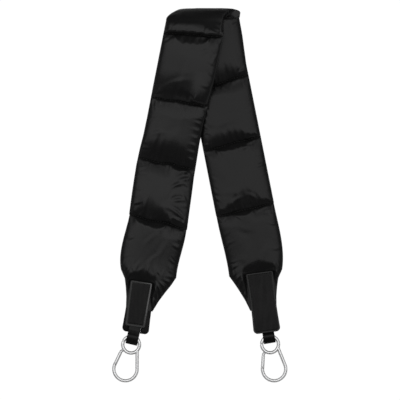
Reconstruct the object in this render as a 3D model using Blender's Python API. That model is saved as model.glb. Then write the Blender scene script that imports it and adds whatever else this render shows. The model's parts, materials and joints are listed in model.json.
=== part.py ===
"""Padded, quilted bag strap that clips on with two hooks, lying folded in two on a table.

The leg on top shows its face fabric and ends at -X, the leg below shows its back fabric and ends at +X.
X is across the folded strap, +Y points to the fold, +Z is up. Lengths are metres, angles are degrees.
"""
import math

import bmesh
import bpy
from mathutils import Matrix, Vector

MM = 0.001

# Gaps and cuts shared by the whole strap
CLEARANCE = 0.3 * MM
RUNNING_GAP = 0.08 * MM
REST_GAP = 0.03 * MM
OVERRUN = 2.0 * MM

# The padded strap
STRAP_WIDTH = 70.0 * MM
PAD_THICKNESS = 12.5 * MM
SEAM_THICKNESS = 3.0 * MM
FABRIC_THICKNESS = 0.5 * MM
TAPE_WIDTH = 25.0 * MM
TAPE_THICKNESS = 1.0 * MM
TAPE_REACH_SHARE = 0.5
CELL_PITCH = 74.8 * MM
FLAT_DEPTH = 0.5 * MM
CROSS_CURVE_SHARES = (2.6, 0.6)
CELL_CURVE_SHARES = (2.4, 0.7)

# How the strap lies: cells as shares of the pitch, from the fold outwards
TOP_CELL_SHARES = (1.07, 1.00, 0.93, 0.84)
LOW_CELL_SHARES = (0.94, 0.98, 1.07, 1.02)
TOP_FIRST_SEAM = 17.5 * MM
LOW_FIRST_SEAM = 4.0 * MM
TOP_TILT = 10.73
LOW_TILT = 11.09
TOP_SEAM_YAWS = (-3.5, -10.0, -12.1, -15.0)
LOW_SEAM_YAWS = (12.0, 16.0, 14.3, 13.2)
FOLD_YAW = 2.0
FOLD_RADIUS = 10.0 * MM
FOLD_DRIFT = 14.0 * MM
DRIFT_START_SHARE = 0.33
DESCENT_LENGTH = 185.0 * MM
SLOPE_STEP = 1.5 * MM
ROLL_PEAK = 4.0

# Where the legs' edges stray from straight: distance from the fold as a share of the pitch, then the strays of the
# outer and the inner edge as shares of the largest one
EDGE_STRAY = 4.2 * MM
TOP_EDGE_SHARES = (
    (0.0, 0.0, 0.0), (0.802, -0.14, -0.14), (1.136, -0.24, -0.36), (1.404, -0.26, -0.71),
    (1.658, -0.29, -0.95), (1.912, -0.38, -1.0), (2.166, -0.67, -0.86), (2.42, -0.79, -0.76),
    (2.674, -0.67, -0.48), (2.941, -0.48, -0.24), (3.235, -0.19, 0.07),
)
LOW_EDGE_SHARES = ((0.0, 0.57, 0.0), (0.334, 0.48, 0.0), (0.802, 0.0, 0.0), (3.048, 0.14, 0.0))
FOLD_HALF_SHARES = (1.0, 1.065)

# Leather at each end
TAB_LENGTH = 72.2 * MM
TAB_WIDTH = 32.4 * MM
TAB_WAIST_SHARE = 0.94
WAIST_STOP_SHARES = (0.15, 0.3, 0.45, 0.6, 0.75)
TAB_CORNER = 5.0 * MM
TAB_TOP_CORNER = 2.0 * MM
OVERLAY_START = 10.6 * MM
OVERLAY_TOP_WIDTH = 26.4 * MM
OVERLAY_END_WIDTH = 23.4 * MM
OVERLAY_CORNER = 2.2 * MM
BACK_LEATHER = 1.4 * MM
OVERLAY_LEATHER = 1.6 * MM
TOP_TAPER_SHARES = (
    (0.0, 1.11, 0.79), (0.22, 0.98, 0.62), (0.45, 0.81, 0.54), (0.70, 0.64, 0.475), (1.0, 0.48, 0.43),
)
LOW_TAPER_SHARES = (
    (0.0, 1.03, 0.79), (0.22, 0.88, 0.62), (0.45, 0.74, 0.54), (0.70, 0.60, 0.475), (1.0, 0.47, 0.43),
)
TOP_TAB_SHIFT = 5.5 * MM
LOW_TAB_SHIFT = 2.4 * MM
TOP_TAB_TILT = 8.5
LOW_TAB_TILT = 7.6

# Leather loop that holds the hook
LOOP_WIDTH = 13.5 * MM
LOOP_LEATHER = 1.3 * MM
TOP_LOOP_REACH = 13.5 * MM
LOW_LOOP_REACH = 12.0 * MM
LOOP_SHIFT = 1.1 * MM
TOP_NECK_SETBACK = 3.2 * MM
TAIL_LENGTH = 22.5 * MM
TONGUE_GAP = 2.5 * MM
TOP_HOOK_TILT = 13.0
LOW_HOOK_TILT = 9.3

# Hook
WIRE_DIAMETER = 4.14 * MM
EYE_RADIUS = 10.0 * MM
BASKET_RADIUS = 13.8 * MM
BASKET_DROP = 30.0 * MM
SIDE_ANGLE = 12.6
SIDE_LENGTH = 21.5 * MM
TOP_EYE_REACH = 14.5 * MM
LOW_EYE_REACH = 14.3 * MM
EYE_SPLIT = 0.35 * MM
EYE_SPLIT_ANGLE = 10.0
NOSE_LENGTH = 0.5 * MM
GATE_PIVOT_LENGTH = 16.8 * MM
GATE_CUT_ANGLE = 45.0
GATE_HEEL = 1.4 * MM
TONGUE_THICKNESS = 1.5 * MM
TONGUE_RADIUS = 1.8 * MM
SLOT_GAP = 0.2 * MM
PIN_RADIUS = 0.75 * MM
BORE_RADIUS = 0.95 * MM
BORE_DEPTH = 7.0 * MM
SPRING_LENGTH = 4.4 * MM
SPRING_WALL = 0.35 * MM
PLUNGER_LENGTH = 1.7 * MM

# How finely the shapes are built: shares along a cell and across the strap, and counts
CELL_ROW_SHARES = (0.0, 0.08, 0.22, 0.40, 0.60, 0.78, 0.92, 1.0)
FOLD_ROW_SHARES = (0.0, 0.07, 0.16, 0.26, 0.36, 0.46, 0.56, 0.66, 0.75, 0.84, 0.93, 1.0)
PAD_COLUMN_SHARES = (-1.0, -0.86, -0.6, -0.3, 0.0, 0.3, 0.6, 0.86, 1.0)
CORE_COLUMN_SHARES = (-0.84, -0.6, -0.3, 0.0, 0.3, 0.6, 0.84)
WIRE_SIDES = 10
EYE_STEPS = 28
BASKET_STEPS = 18
SMALL_SIDES = 16
BIGHT_STEPS = 10

# Worked out from the sizes above
CROWN = PAD_THICKNESS / 2
SEAM_RISE = SEAM_THICKNESS / 2
EDGE_RISE = FABRIC_THICKNESS + CLEARANCE / 2
TONGUE_RISE = TAPE_THICKNESS / 2 + CLEARANCE + FABRIC_THICKNESS
HALF_WIDTH = STRAP_WIDTH / 2
PAD_LEVEL = CROWN - FLAT_DEPTH
LEATHER_LEVEL = TONGUE_RISE + CLEARANCE
WIRE_RADIUS = WIRE_DIAMETER / 2
LOW_NECK_SETBACK = -CLEARANCE
TAIL_START = TAB_LENGTH - TOP_NECK_SETBACK - TAIL_LENGTH
TONGUE_LENGTH = TAIL_START - TONGUE_GAP
TAIL_THICKNESS = 2 * LOOP_LEATHER
LOOP_INSIDE = WIRE_RADIUS + CLEARANCE
LOOP_OUTSIDE = LOOP_INSIDE + LOOP_LEATHER
LOOP_LEVEL = LOOP_OUTSIDE + CLEARANCE
MOUTH_DEPTH = TOP_NECK_SETBACK + LOOP_OUTSIDE + CLEARANCE
OVERLAY_END = TAB_LENGTH - MOUTH_DEPTH - CLEARANCE
HOOK_LENGTH = EYE_RADIUS + BASKET_DROP + BASKET_RADIUS
HOOK_SLOPE = math.degrees(math.asin((LOOP_LEVEL - WIRE_RADIUS - REST_GAP) / HOOK_LENGTH))
NOSE_SLOPE = -math.tan(math.radians(GATE_CUT_ANGLE))

COLOURS = {
    "nylon": (0.020, 0.020, 0.022, 0.55, 0.0),
    "wadding": (0.75, 0.75, 0.72, 0.95, 0.0),
    "tape": (0.030, 0.030, 0.032, 0.80, 0.0),
    "leather": (0.016, 0.015, 0.016, 0.42, 0.0),
    "metal": (0.62, 0.62, 0.63, 0.22, 1.0),
    "spring_steel": (0.45, 0.45, 0.46, 0.35, 1.0),
}


def clear_scene():
    for old in list(bpy.data.objects):
        bpy.data.objects.remove(old, do_unlink=True)


def make_material(name):
    red, green, blue, roughness, metallic = COLOURS[name]
    material = bpy.data.materials.get(name) or bpy.data.materials.new(name)
    material.use_nodes = True
    shader = material.node_tree.nodes["Principled BSDF"]
    shader.inputs["Base Color"].default_value = (red, green, blue, 1.0)
    shader.inputs["Roughness"].default_value = roughness
    shader.inputs["Metallic"].default_value = metallic
    return material


def add_object(name, bm, material, smooth_angle=40.0):
    """Turn a bmesh into a named object whose faces point out."""
    bmesh.ops.recalc_face_normals(bm, faces=bm.faces)
    mesh = bpy.data.meshes.new(name)
    bm.to_mesh(mesh)
    bm.free()
    mesh.shade_smooth()
    mesh.set_sharp_from_angle(angle=math.radians(smooth_angle))
    mesh.materials.append(make_material(material))
    thing = bpy.data.objects.new(name, mesh)
    bpy.context.scene.collection.objects.link(thing)
    return thing


def add_empty(name, frame):
    """An empty on a joint: its X axis is the joint's axis."""
    empty = bpy.data.objects.new(name, None)
    empty.matrix_world = frame
    bpy.context.scene.collection.objects.link(empty)
    return empty


def carry(empty, things):
    """Parent pieces to their joint's empty without moving them."""
    bpy.context.view_layer.update()
    for thing in things:
        thing.parent = empty
        thing.matrix_parent_inverse = empty.matrix_world.inverted()


def smooth(share):
    share = min(max(share, 0.0), 1.0)
    return share * share * (3.0 - 2.0 * share)


def blend(start, end, share):
    return start + (end - start) * share


def frame_from(centre, across, along):
    """A placing matrix from a point and two directions at right angles to each other."""
    up = across.cross(along)
    turn = Matrix((across, along, up)).transposed().to_4x4()
    return Matrix.Translation(centre) @ turn


def flat_heading(tilt):
    """The level direction that runs down the picture, leaning towards +X by the tilt."""
    lean = math.radians(tilt)
    return Vector((math.sin(lean), -math.cos(lean), 0.0))


class Row:
    """One line across the strap: its middle, its directions, its two half widths and half its thickness."""

    def __init__(self, centre, across, along, halves, rise):
        self.centre = centre
        self.across = across
        self.normal = along.cross(across).normalized()
        self.halves = halves
        self.rise = rise

    def half(self, share):
        return self.halves[1] if share > 0.0 else self.halves[0]

    def bulge(self, share):
        """Half the strap's thickness at a share of the half width: thin at the edge, full in the middle."""
        inner, outer = CROSS_CURVE_SHARES
        fullness = (1.0 - min(abs(share), 1.0) ** inner) ** outer
        return blend(EDGE_RISE, max(self.rise, EDGE_RISE), fullness)

    def point(self, share, side, depth):
        """A point on the face side (1) or the back side (-1), a depth below the outer surface."""
        outer = self.bulge(share)
        if side * self.normal.z < 0.0:
            outer = min(outer, self.centre.z + FLAT_DEPTH)
        place = self.centre + self.across * (share * self.half(share))
        place = place + self.normal * (side * (outer - depth))
        if side * self.normal.z < 0.0:
            place.z = max(place.z, depth)
        return place


class Leg:
    """One leg of the folded strap, from the fold's edge to its leather."""

    def __init__(self, name):
        self.name = name
        self.top = name == "top"
        self.side = -1.0 if self.top else 1.0
        self.tilt = self.side * (TOP_TILT if self.top else LOW_TILT)
        self.yaws = TOP_SEAM_YAWS if self.top else LOW_SEAM_YAWS
        self.edge_shares = TOP_EDGE_SHARES if self.top else LOW_EDGE_SHARES
        self.taper = TOP_TAPER_SHARES if self.top else LOW_TAPER_SHARES
        shares = TOP_CELL_SHARES if self.top else LOW_CELL_SHARES
        self.seams = [TOP_FIRST_SEAM if self.top else LOW_FIRST_SEAM]
        for share in shares[:3]:
            self.seams.append(self.seams[-1] + share * CELL_PITCH)
        self.end_length = shares[3] * CELL_PITCH
        self.start = Vector((self.side * FOLD_DRIFT / 2, 0.0, 0.0))
        self.heading = flat_heading(self.tilt)
        self.tab_tilt = self.side * (TOP_TAB_TILT if self.top else LOW_TAB_TILT)
        self.tab_heading = flat_heading(self.tab_tilt)

    def level(self, distance):
        """Height of the strap's middle surface."""
        if not self.top:
            return PAD_LEVEL
        return blend(PAD_LEVEL + 2 * FOLD_RADIUS, PAD_LEVEL, smooth(distance / DESCENT_LENGTH))

    def yaw(self, distance):
        """Slant of the row, read between the seams."""
        stops = [0.0] + self.seams
        yaws = [self.fold_end_yaw()] + list(self.yaws)
        for index in range(len(stops) - 1):
            if distance <= stops[index + 1]:
                share = (distance - stops[index]) / (stops[index + 1] - stops[index])
                return blend(yaws[index], yaws[index + 1], share)
        return yaws[-1]

    def fold_end_yaw(self):
        return blend(FOLD_YAW, self.yaws[0], 0.5)

    def roll(self, distance):
        share = min(max(distance / DESCENT_LENGTH, 0.0), 1.0)
        return ROLL_PEAK * math.sin(math.pi * share) ** 2 if self.top else 0.0

    def across(self, distance):
        yaw = math.radians(self.yaw(distance))
        roll = math.radians(self.roll(distance))
        flat = Vector((math.cos(yaw), math.sin(yaw), 0.0))
        return (flat * math.cos(roll) + Vector((0.0, 0.0, math.sin(roll)))).normalized()

    def along(self, distance):
        """Direction of travel from the low leg's leather, over the fold, to the top leg's leather."""
        rise = (self.level(distance + SLOPE_STEP) - self.level(distance - SLOPE_STEP)) / (2 * SLOPE_STEP)
        outwards = (self.heading + Vector((0.0, 0.0, rise))).normalized()
        return -self.side * outwards

    def edge_drifts(self, distance):
        """How far the -X edge and the +X edge stray from straight, towards +X."""
        place = distance / CELL_PITCH
        for (start, *first), (end, *last) in zip(self.edge_shares, self.edge_shares[1:]):
            if place <= end or end == self.edge_shares[-1][0]:
                share = min(max((place - start) / (end - start), 0.0), 1.0)
                outer, inner = [blend(a, b, share) * EDGE_STRAY for a, b in zip(first, last)]
                return (outer, inner) if self.top else (inner, outer)

    def centre(self, distance):
        flat = self.start + self.heading * distance
        middle = Vector((flat.x, flat.y, self.level(distance)))
        return middle + self.across(distance) * (sum(self.edge_drifts(distance)) / 2)

    def row(self, distance, rise):
        across = self.across(distance)
        slant = math.cos(math.radians(self.yaw(distance) - self.tilt))
        left, right = self.edge_drifts(distance)
        half = HALF_WIDTH / slant + (right - left) / 2
        return Row(self.centre(distance), across, self.along(distance), (half, half), rise)

    def cell_rows(self, first, last):
        """Rows of the quilted cells between two seams."""
        rows = []
        for cell in range(first, last):
            low, high = self.seams[cell], self.seams[cell + 1]
            for share in CELL_ROW_SHARES[1 if rows else 0:]:
                rows.append(self.row(blend(low, high, share), cell_rise(share, SEAM_RISE, SEAM_RISE)))
        return rows

    def tab_frame(self):
        """The leather's place: X to the outer side, Y to the hook, Z to the strap's face side."""
        shift = TOP_TAB_SHIFT if self.top else LOW_TAB_SHIFT
        lower_leather = BACK_LEATHER if self.top else OVERLAY_LEATHER
        outwards = Vector((-self.heading.y, self.heading.x, 0.0)) * self.side
        flat = self.start + self.heading * (self.seams[3] + self.end_length) + outwards * shift
        centre = Vector((flat.x, flat.y, LEATHER_LEVEL + lower_leather))
        across = Vector((-self.tab_heading.y, self.tab_heading.x, 0.0)) * self.side
        return frame_from(centre, across, self.tab_heading)

    def end_rows(self):
        """Rows of the last cell, which narrows and thins towards the leather."""
        tab = self.tab_frame().translation
        start = self.centre(self.seams[3])
        reach = (tab - start).length
        first_across = self.across(self.seams[3])
        last_across = Vector((-self.tab_heading.y, self.tab_heading.x, 0.0))
        rows = []
        for share in CELL_ROW_SHARES:
            flat = hermite(start, self.heading * reach, tab, self.tab_heading * reach, share)
            centre = Vector((flat.x, flat.y, blend(start.z, tab.z, smooth(share))))
            across = first_across.lerp(last_across, smooth(share)).normalized()
            inner = HALF_WIDTH * blend(1.0, self.taper[0][1], share)
            outer = HALF_WIDTH * blend(1.0, self.taper[0][2], share * share * share)
            along = -self.side * self.heading.lerp(self.tab_heading, share)
            halves = (outer, inner) if self.top else (inner, outer)
            rows.append(Row(centre, across, along, halves, cell_rise(share, SEAM_RISE, TONGUE_RISE)))
        return rows

    def tongue_rows(self):
        """Rows of the flat fabric tongue that the leathers hold."""
        frame = self.tab_frame()
        across = Vector((-self.tab_heading.y, self.tab_heading.x, 0.0))
        rows = []
        for share, inner_share, outer_share in self.taper[1:]:
            centre = frame.translation + self.tab_heading * (share * TONGUE_LENGTH)
            inner = HALF_WIDTH * inner_share
            outer = HALF_WIDTH * outer_share
            halves = (outer, inner) if self.top else (inner, outer)
            rows.append(Row(centre, across, -self.side * self.tab_heading, halves, TONGUE_RISE))
        return rows


def hermite(start, start_slope, end, end_slope, share):
    square = share * share
    cube = square * share
    value = start * (2 * cube - 3 * square + 1.0) + start_slope * (cube - 2 * square + share)
    return value + end * (3 * square - 2 * cube) + end_slope * (cube - square)


def cell_rise(share, first_rise, last_rise):
    """Half thickness along a cell: low at both seams and full between them."""
    inner, outer = CELL_CURVE_SHARES
    fullness = (1.0 - abs(2.0 * share - 1.0) ** inner) ** outer
    return blend(blend(first_rise, last_rise, share), CROWN, fullness)


def fold_row(low, top, angle, rise):
    """A row on the fold's half turn, from the low leg (0) to the top leg (180)."""
    share = angle / 180.0
    turn = math.radians(angle)
    drift = smooth((share - DRIFT_START_SHARE) / (1.0 - DRIFT_START_SHARE))
    centre = Vector((blend(low.start.x, top.start.x, drift), FOLD_RADIUS * math.sin(turn), 0.0))
    centre.z = PAD_LEVEL + FOLD_RADIUS * (1.0 - math.cos(turn))
    first, last = (low.fold_end_yaw(), FOLD_YAW) if share < 0.5 else (FOLD_YAW, top.fold_end_yaw())
    yaw = math.radians(blend(first, last, 2 * share if share < 0.5 else 2 * share - 1.0))
    across = Vector((math.cos(yaw), math.sin(yaw) * abs(math.cos(turn)), 0.0)).normalized()
    along = Vector((0.0, math.cos(turn), math.sin(turn)))
    half = HALF_WIDTH / math.cos(math.radians(LOW_TILT))
    right = half * (FOLD_HALF_SHARES[1] if share < 0.5 else blend(*FOLD_HALF_SHARES[::-1], 2 * share - 1.0))
    return Row(centre, across, along, (half * FOLD_HALF_SHARES[0], right), rise)


def fold_rows(low, top):
    """Rows of the cell that goes over the fold, from the low leg's first seam to the top leg's."""
    arc = math.pi * FOLD_RADIUS
    length = low.seams[0] + arc + top.seams[0]
    rows = []
    for share in FOLD_ROW_SHARES:
        place = share * length
        rise = cell_rise(share, SEAM_RISE, SEAM_RISE)
        if place < low.seams[0]:
            rows.append(low.row(low.seams[0] - place, rise))
        elif place < low.seams[0] + arc:
            rows.append(fold_row(low, top, 180.0 * (place - low.seams[0]) / arc, rise))
        else:
            rows.append(top.row(place - low.seams[0] - arc, rise))
    return rows


def surface(rows, shares, side, depth):
    """A grid of points at a depth below one side of the strap."""
    return [[row.point(share, side, depth) for share in shares] for row in rows]


def grid_bmesh(outer, inner):
    """A closed solid between two grids of points."""
    bm = bmesh.new()
    sheets = [[[bm.verts.new(place) for place in line] for line in grid] for grid in (outer, inner)]
    rows, columns = len(outer), len(outer[0])
    for sheet in sheets:
        for i in range(rows - 1):
            for j in range(columns - 1):
                bm.faces.new((sheet[i][j], sheet[i][j + 1], sheet[i + 1][j + 1], sheet[i + 1][j]))
    rim = [(i, 0) for i in range(rows)] + [(rows - 1, j) for j in range(1, columns)]
    rim += [(i, columns - 1) for i in range(rows - 2, -1, -1)]
    rim += [(0, j) for j in range(columns - 2, 0, -1)]
    for (a, b), (c, d) in zip(rim, rim[1:] + rim[:1]):
        bm.faces.new((sheets[0][a][b], sheets[0][c][d], sheets[1][c][d], sheets[1][a][b]))
    return bm


def trim_seam(rows, start, end):
    """Pull the first or last row back by half a clearance, where the next length of strap begins."""
    if start:
        rows[0].centre = rows[0].centre + (rows[1].centre - rows[0].centre).normalized() * (CLEARANCE / 2)
    if end:
        rows[-1].centre = rows[-1].centre + (rows[-2].centre - rows[-1].centre).normalized() * (CLEARANCE / 2)
    return rows


def fabric_panel(name, rows, side):
    outer = surface(rows, PAD_COLUMN_SHARES, side, 0.0)
    inner = surface(rows, PAD_COLUMN_SHARES, side, FABRIC_THICKNESS)
    return add_object(name, grid_bmesh(outer, inner), "nylon")


def tape_length(name, rows):
    """The load carrying tape, which lies against the back fabric."""
    depth = FABRIC_THICKNESS + CLEARANCE
    grids = []
    for extra in (0.0, TAPE_THICKNESS):
        grid = []
        for row in rows:
            edges = [min(TAPE_WIDTH / 2 / half, TAPE_REACH_SHARE) for half in row.halves]
            shares = [-edges[0], 0.0, edges[1]]
            grid.append([row.point(share, -1.0, depth + extra) for share in shares])
        grids.append(grid)
    return add_object(name, grid_bmesh(*grids), "tape")


def wadding_core(name, rows):
    """The wadding of one cell, between the face fabric and the tape."""
    face_depth = FABRIC_THICKNESS + CLEARANCE
    back_depth = face_depth + TAPE_THICKNESS + CLEARANCE
    outer = surface(rows, CORE_COLUMN_SHARES, 1.0, face_depth)
    inner = surface(rows, CORE_COLUMN_SHARES, -1.0, back_depth)
    return add_object(name, grid_bmesh(outer, inner), "wadding")


def pad_length(name, rows):
    """The fabrics and the tape of one length of strap."""
    face = fabric_panel(f"{name}_face_fabric", rows, 1.0)
    back = fabric_panel(f"{name}_back_fabric", rows, -1.0)
    tape = tape_length(f"{name}_webbing_tape", rows)
    return [face, back, tape]


def rounded_outline(corners, steps=5):
    """Points of an outline whose corners, given as (x, y, radius), are rounded."""
    points = []
    for index, (x, y, radius) in enumerate(corners):
        here = Vector((x, y))
        before = Vector(corners[index - 1][:2]) - here
        after = Vector(corners[(index + 1) % len(corners)][:2]) - here
        if radius == 0.0:
            points.append(here)
            continue
        half = before.angle(after) / 2
        reach = radius / math.tan(half)
        middle = (before.normalized() + after.normalized()).normalized()
        centre = here + middle * (radius / math.sin(half))
        first = here + before.normalized() * reach - centre
        last = here + after.normalized() * reach - centre
        for step in range(steps + 1):
            points.append(centre + first.lerp(last, step / steps).normalized() * radius)
    return points


def plate_bmesh(outline, low, high):
    """A flat plate with this outline between two levels."""
    bm = bmesh.new()
    face = bm.faces.new([bm.verts.new((x, y, low)) for x, y in outline])
    extruded = bmesh.ops.extrude_face_region(bm, geom=[face])
    top = [item for item in extruded["geom"] if isinstance(item, bmesh.types.BMVert)]
    bmesh.ops.translate(bm, verts=top, vec=(0.0, 0.0, high - low))
    return bm


def place(bm, frame):
    bmesh.ops.transform(bm, matrix=frame, verts=bm.verts)
    return bm


def waist_share(share):
    """How far the back leather's sides draw in along its length."""
    return 1.0 - (1.0 - TAB_WAIST_SHARE) * math.sin(math.pi * share)


def back_leather(leg):
    """The wide leather on the strap's back side; the top end's has a mouth for the loop."""
    half = TAB_WIDTH / 2
    waist = [(half * waist_share(share), share * TAB_LENGTH) for share in WAIST_STOP_SHARES]
    corners = [(-half, 0.0, TAB_TOP_CORNER)] + [(-x, y, 0.0) for x, y in waist]
    corners += [(-half, TAB_LENGTH, TAB_CORNER)] + (mouth_corners(leg) if leg.top else [])
    corners += [(half, TAB_LENGTH, TAB_CORNER)]
    corners += [(x, y, 0.0) for x, y in reversed(waist)] + [(half, 0.0, TAB_TOP_CORNER)]
    bm = plate_bmesh(rounded_outline(corners), -LEATHER_LEVEL - BACK_LEATHER, -LEATHER_LEVEL)
    return add_object(f"{leg.name}_back_leather", place(bm, leg.tab_frame()), "leather")


def mouth_corners(leg):
    """The mouth in the leather's end, in line with the loop that swings in it."""
    to_tab = leg.tab_frame().inverted() @ neck_frame(leg)
    inside = -LOOP_OUTSIDE - CLEARANCE
    corners = []
    for x in (-LOOP_WIDTH / 2 - CLEARANCE, LOOP_WIDTH / 2 + CLEARANCE):
        deep, out = [(to_tab @ Vector((x, y, 0.0))).to_2d() for y in (inside, TOP_NECK_SETBACK)]
        end = blend(deep, out, (TAB_LENGTH - deep.y) / (out.y - deep.y))
        corners += [(end.x, end.y, 0.0), (deep.x, deep.y, 0.0)]
    return corners[:2] + corners[:1:-1]


def leather_overlay(leg):
    """The narrower leather on the strap's face side."""
    top, end = OVERLAY_TOP_WIDTH / 2, OVERLAY_END_WIDTH / 2
    corners = [
        (LOOP_SHIFT - top, OVERLAY_START, OVERLAY_CORNER), (LOOP_SHIFT - end, OVERLAY_END, OVERLAY_CORNER),
        (LOOP_SHIFT + end, OVERLAY_END, OVERLAY_CORNER), (LOOP_SHIFT + top, OVERLAY_START, OVERLAY_CORNER),
    ]
    bm = plate_bmesh(rounded_outline(corners), LEATHER_LEVEL, LEATHER_LEVEL + OVERLAY_LEATHER)
    return add_object(f"{leg.name}_leather_overlay", place(bm, leg.tab_frame()), "leather")


def loop_tail(leg):
    """The folded end of the loop, sewn in between the leathers."""
    half = LOOP_WIDTH / 2
    tab = leg.tab_frame()
    outline = rectangle(half, TAIL_START, TAB_LENGTH)
    outline = [corner + Vector((LOOP_SHIFT, 0.0)) for corner in outline[:2]]
    for side in (1.0, -1.0):
        corner = neck_frame(leg) @ Vector((-leg.side * side * half, -CLEARANCE, 0.0))
        outline.append((tab.inverted() @ corner).to_2d())
    bm = plate_bmesh(outline, -TAIL_THICKNESS / 2, TAIL_THICKNESS / 2)
    return add_object(f"{leg.name}_loop_tail", place(bm, tab), "leather")


def rectangle(half_width, start, end):
    return [Vector((x, y)) for x, y in (
        (-half_width, start), (half_width, start), (half_width, end), (-half_width, end),
    )]


def hook_tilt(leg):
    return leg.side * (TOP_HOOK_TILT if leg.top else LOW_HOOK_TILT)


def neck_setback(leg):
    return TOP_NECK_SETBACK if leg.top else LOW_NECK_SETBACK


def neck_frame(leg):
    """The loop's bend: X along the bend towards the outer side, Y to the hook, Z up."""
    heading = flat_heading(hook_tilt(leg))
    across = Vector((heading.y, -heading.x, 0.0))
    centre = leg.tab_frame() @ Vector((LOOP_SHIFT, TAB_LENGTH - neck_setback(leg), 0.0))
    return frame_from(centre, across, heading)


def eye_reach(leg):
    """From the loop's bend to the middle of the hook's eye."""
    return neck_setback(leg) + (TOP_EYE_REACH if leg.top else LOW_EYE_REACH)


def hook_frame(leg):
    """The hook's own plane: Y from the eye to the basket, a little downhill, X to the gate's side."""
    neck = neck_frame(leg)
    slope = math.radians(HOOK_SLOPE)
    level = LOOP_LEVEL - EYE_RADIUS * math.sin(slope) - neck.translation.z
    return neck @ Matrix.Translation((0.0, eye_reach(leg), level)) @ Matrix.Rotation(-slope, 4, "X")


def side_profile_bmesh(outline, half_width):
    """A solid of one width with this outline in Y and Z."""
    bm = bmesh.new()
    face = bm.faces.new([bm.verts.new((-half_width, y, z)) for y, z in outline])
    extruded = bmesh.ops.extrude_face_region(bm, geom=[face])
    far = [item for item in extruded["geom"] if isinstance(item, bmesh.types.BMVert)]
    bmesh.ops.translate(bm, verts=far, vec=(2 * half_width, 0.0, 0.0))
    bmesh.ops.recalc_face_normals(bm, faces=bm.faces)
    return bm


def cut(thing, cutter_bm, name):
    """Cut a shape out of a piece, and keep the cutter as a hidden wire."""
    cutter = add_object(name, cutter_bm, "metal")
    cutter.hide_render = True
    cutter.display_type = "WIRE"
    cutter.parent = thing
    modifier = thing.modifiers.new(name, "BOOLEAN")
    modifier.operation = "DIFFERENCE"
    modifier.object = cutter
    return cutter


def join(thing, other_bm, name):
    """Weld a shape onto a piece, and keep the added shape as a hidden wire."""
    other = add_object(name, other_bm, "metal")
    other.hide_render = True
    other.display_type = "WIRE"
    other.parent = thing
    modifier = thing.modifiers.new(name, "BOOLEAN")
    modifier.operation = "UNION"
    modifier.object = other
    return other


def arc(centre, radius, first, last, steps):
    """Points of an arc about a middle, from one angle to another."""
    points = []
    for step in range(steps + 1):
        angle = math.radians(blend(first, last, step / steps))
        points.append((centre[0] + radius * math.cos(angle), centre[1] + radius * math.sin(angle)))
    return points


def loop_line(leg):
    """The two middles of the loop's inside, in Y and Z from its bend, lying in the hook's plane."""
    slope = math.tan(math.radians(HOOK_SLOPE))
    level = LOOP_LEVEL - neck_frame(leg).translation.z
    ring_top = eye_reach(leg) - EYE_RADIUS
    end = neck_setback(leg) + (TOP_LOOP_REACH if leg.top else LOW_LOOP_REACH) - LOOP_OUTSIDE
    return [(place, level - (place - ring_top) * slope) for place in (ring_top, end)]


def loop_outline(leg):
    """The loop from the side: a neck of two layers that part round the hook's eye."""
    start, end = loop_line(leg)
    neck = TAIL_THICKNESS / 2
    upper = 180.0 - math.degrees(math.asin((neck - start[1]) / LOOP_OUTSIDE))
    lower = 180.0 + math.degrees(math.asin((neck + start[1]) / LOOP_OUTSIDE))
    points = arc(end, LOOP_OUTSIDE, -90.0, 90.0, BIGHT_STEPS)
    points += arc(start, LOOP_OUTSIDE, 90.0, upper, BIGHT_STEPS // 2)
    points += [(0.0, neck), (0.0, -neck)]
    return points + arc(start, LOOP_OUTSIDE, lower, 270.0, BIGHT_STEPS // 2)


def leather_loop(leg):
    """The free leather loop, which swings at the end of its sewn tail."""
    start, end = loop_line(leg)
    hollow = arc(end, LOOP_INSIDE, -90.0, 90.0, BIGHT_STEPS)
    hollow += arc(start, LOOP_INSIDE, 90.0, 270.0, BIGHT_STEPS)
    outside = side_profile_bmesh(loop_outline(leg), LOOP_WIDTH / 2)
    loop = add_object(f"{leg.name}_leather_loop", outside, "leather")
    cut(loop, side_profile_bmesh(hollow, LOOP_WIDTH / 2 + OVERRUN), f"{leg.name}_loop_hollow")
    return placed(loop, neck_frame(leg))


def placed(thing, frame):
    thing.matrix_world = frame
    return thing


def wire_bmesh(path, radius, sides, end_cut=None):
    """A round wire along a level path; the last end may be cut at a slant to its direction."""
    bm = bmesh.new()
    rings = []
    for index, here in enumerate(path):
        before = path[max(index - 1, 0)]
        after = path[min(index + 1, len(path) - 1)]
        along = (after - before).normalized()
        out = Vector((along.y, -along.x, 0.0))
        ring = []
        for side in range(sides):
            turn = 2 * math.pi * (side + 0.5) / sides
            offset = out * (radius * math.cos(turn)) + Vector((0.0, 0.0, radius * math.sin(turn)))
            shift = 0.0
            if end_cut is not None and index == len(path) - 1:
                shift = offset.dot(out) * end_cut
            ring.append(bm.verts.new(here + offset + along * shift))
        rings.append(ring)
    for first, second in zip(rings, rings[1:]):
        for side in range(sides):
            other = (side + 1) % sides
            bm.faces.new((first[side], first[other], second[other], second[side]))
    bm.faces.new(rings[0])
    bm.faces.new(rings[-1])
    bmesh.ops.recalc_face_normals(bm, faces=bm.faces)
    return bm


def side_point(length, side=1.0):
    """A point on the basket's straight side, a length up from where the round bottom ends."""
    angle = math.radians(SIDE_ANGLE)
    x = BASKET_RADIUS * math.cos(angle) - length * math.sin(angle)
    y = BASKET_DROP - BASKET_RADIUS * math.sin(angle) - length * math.cos(angle)
    return Vector((side * x, y, 0.0))


def eye_path():
    """The eye's wire, from just past its split round to just before it."""
    gap = math.degrees(EYE_SPLIT / EYE_RADIUS) / 2
    points = []
    for step in range(EYE_STEPS + 1):
        angle = math.radians(-EYE_SPLIT_ANGLE + blend(gap, 360.0 - gap, step / EYE_STEPS))
        points.append(Vector((EYE_RADIUS * math.cos(angle), EYE_RADIUS * math.sin(angle), 0.0)))
    return points


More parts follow.
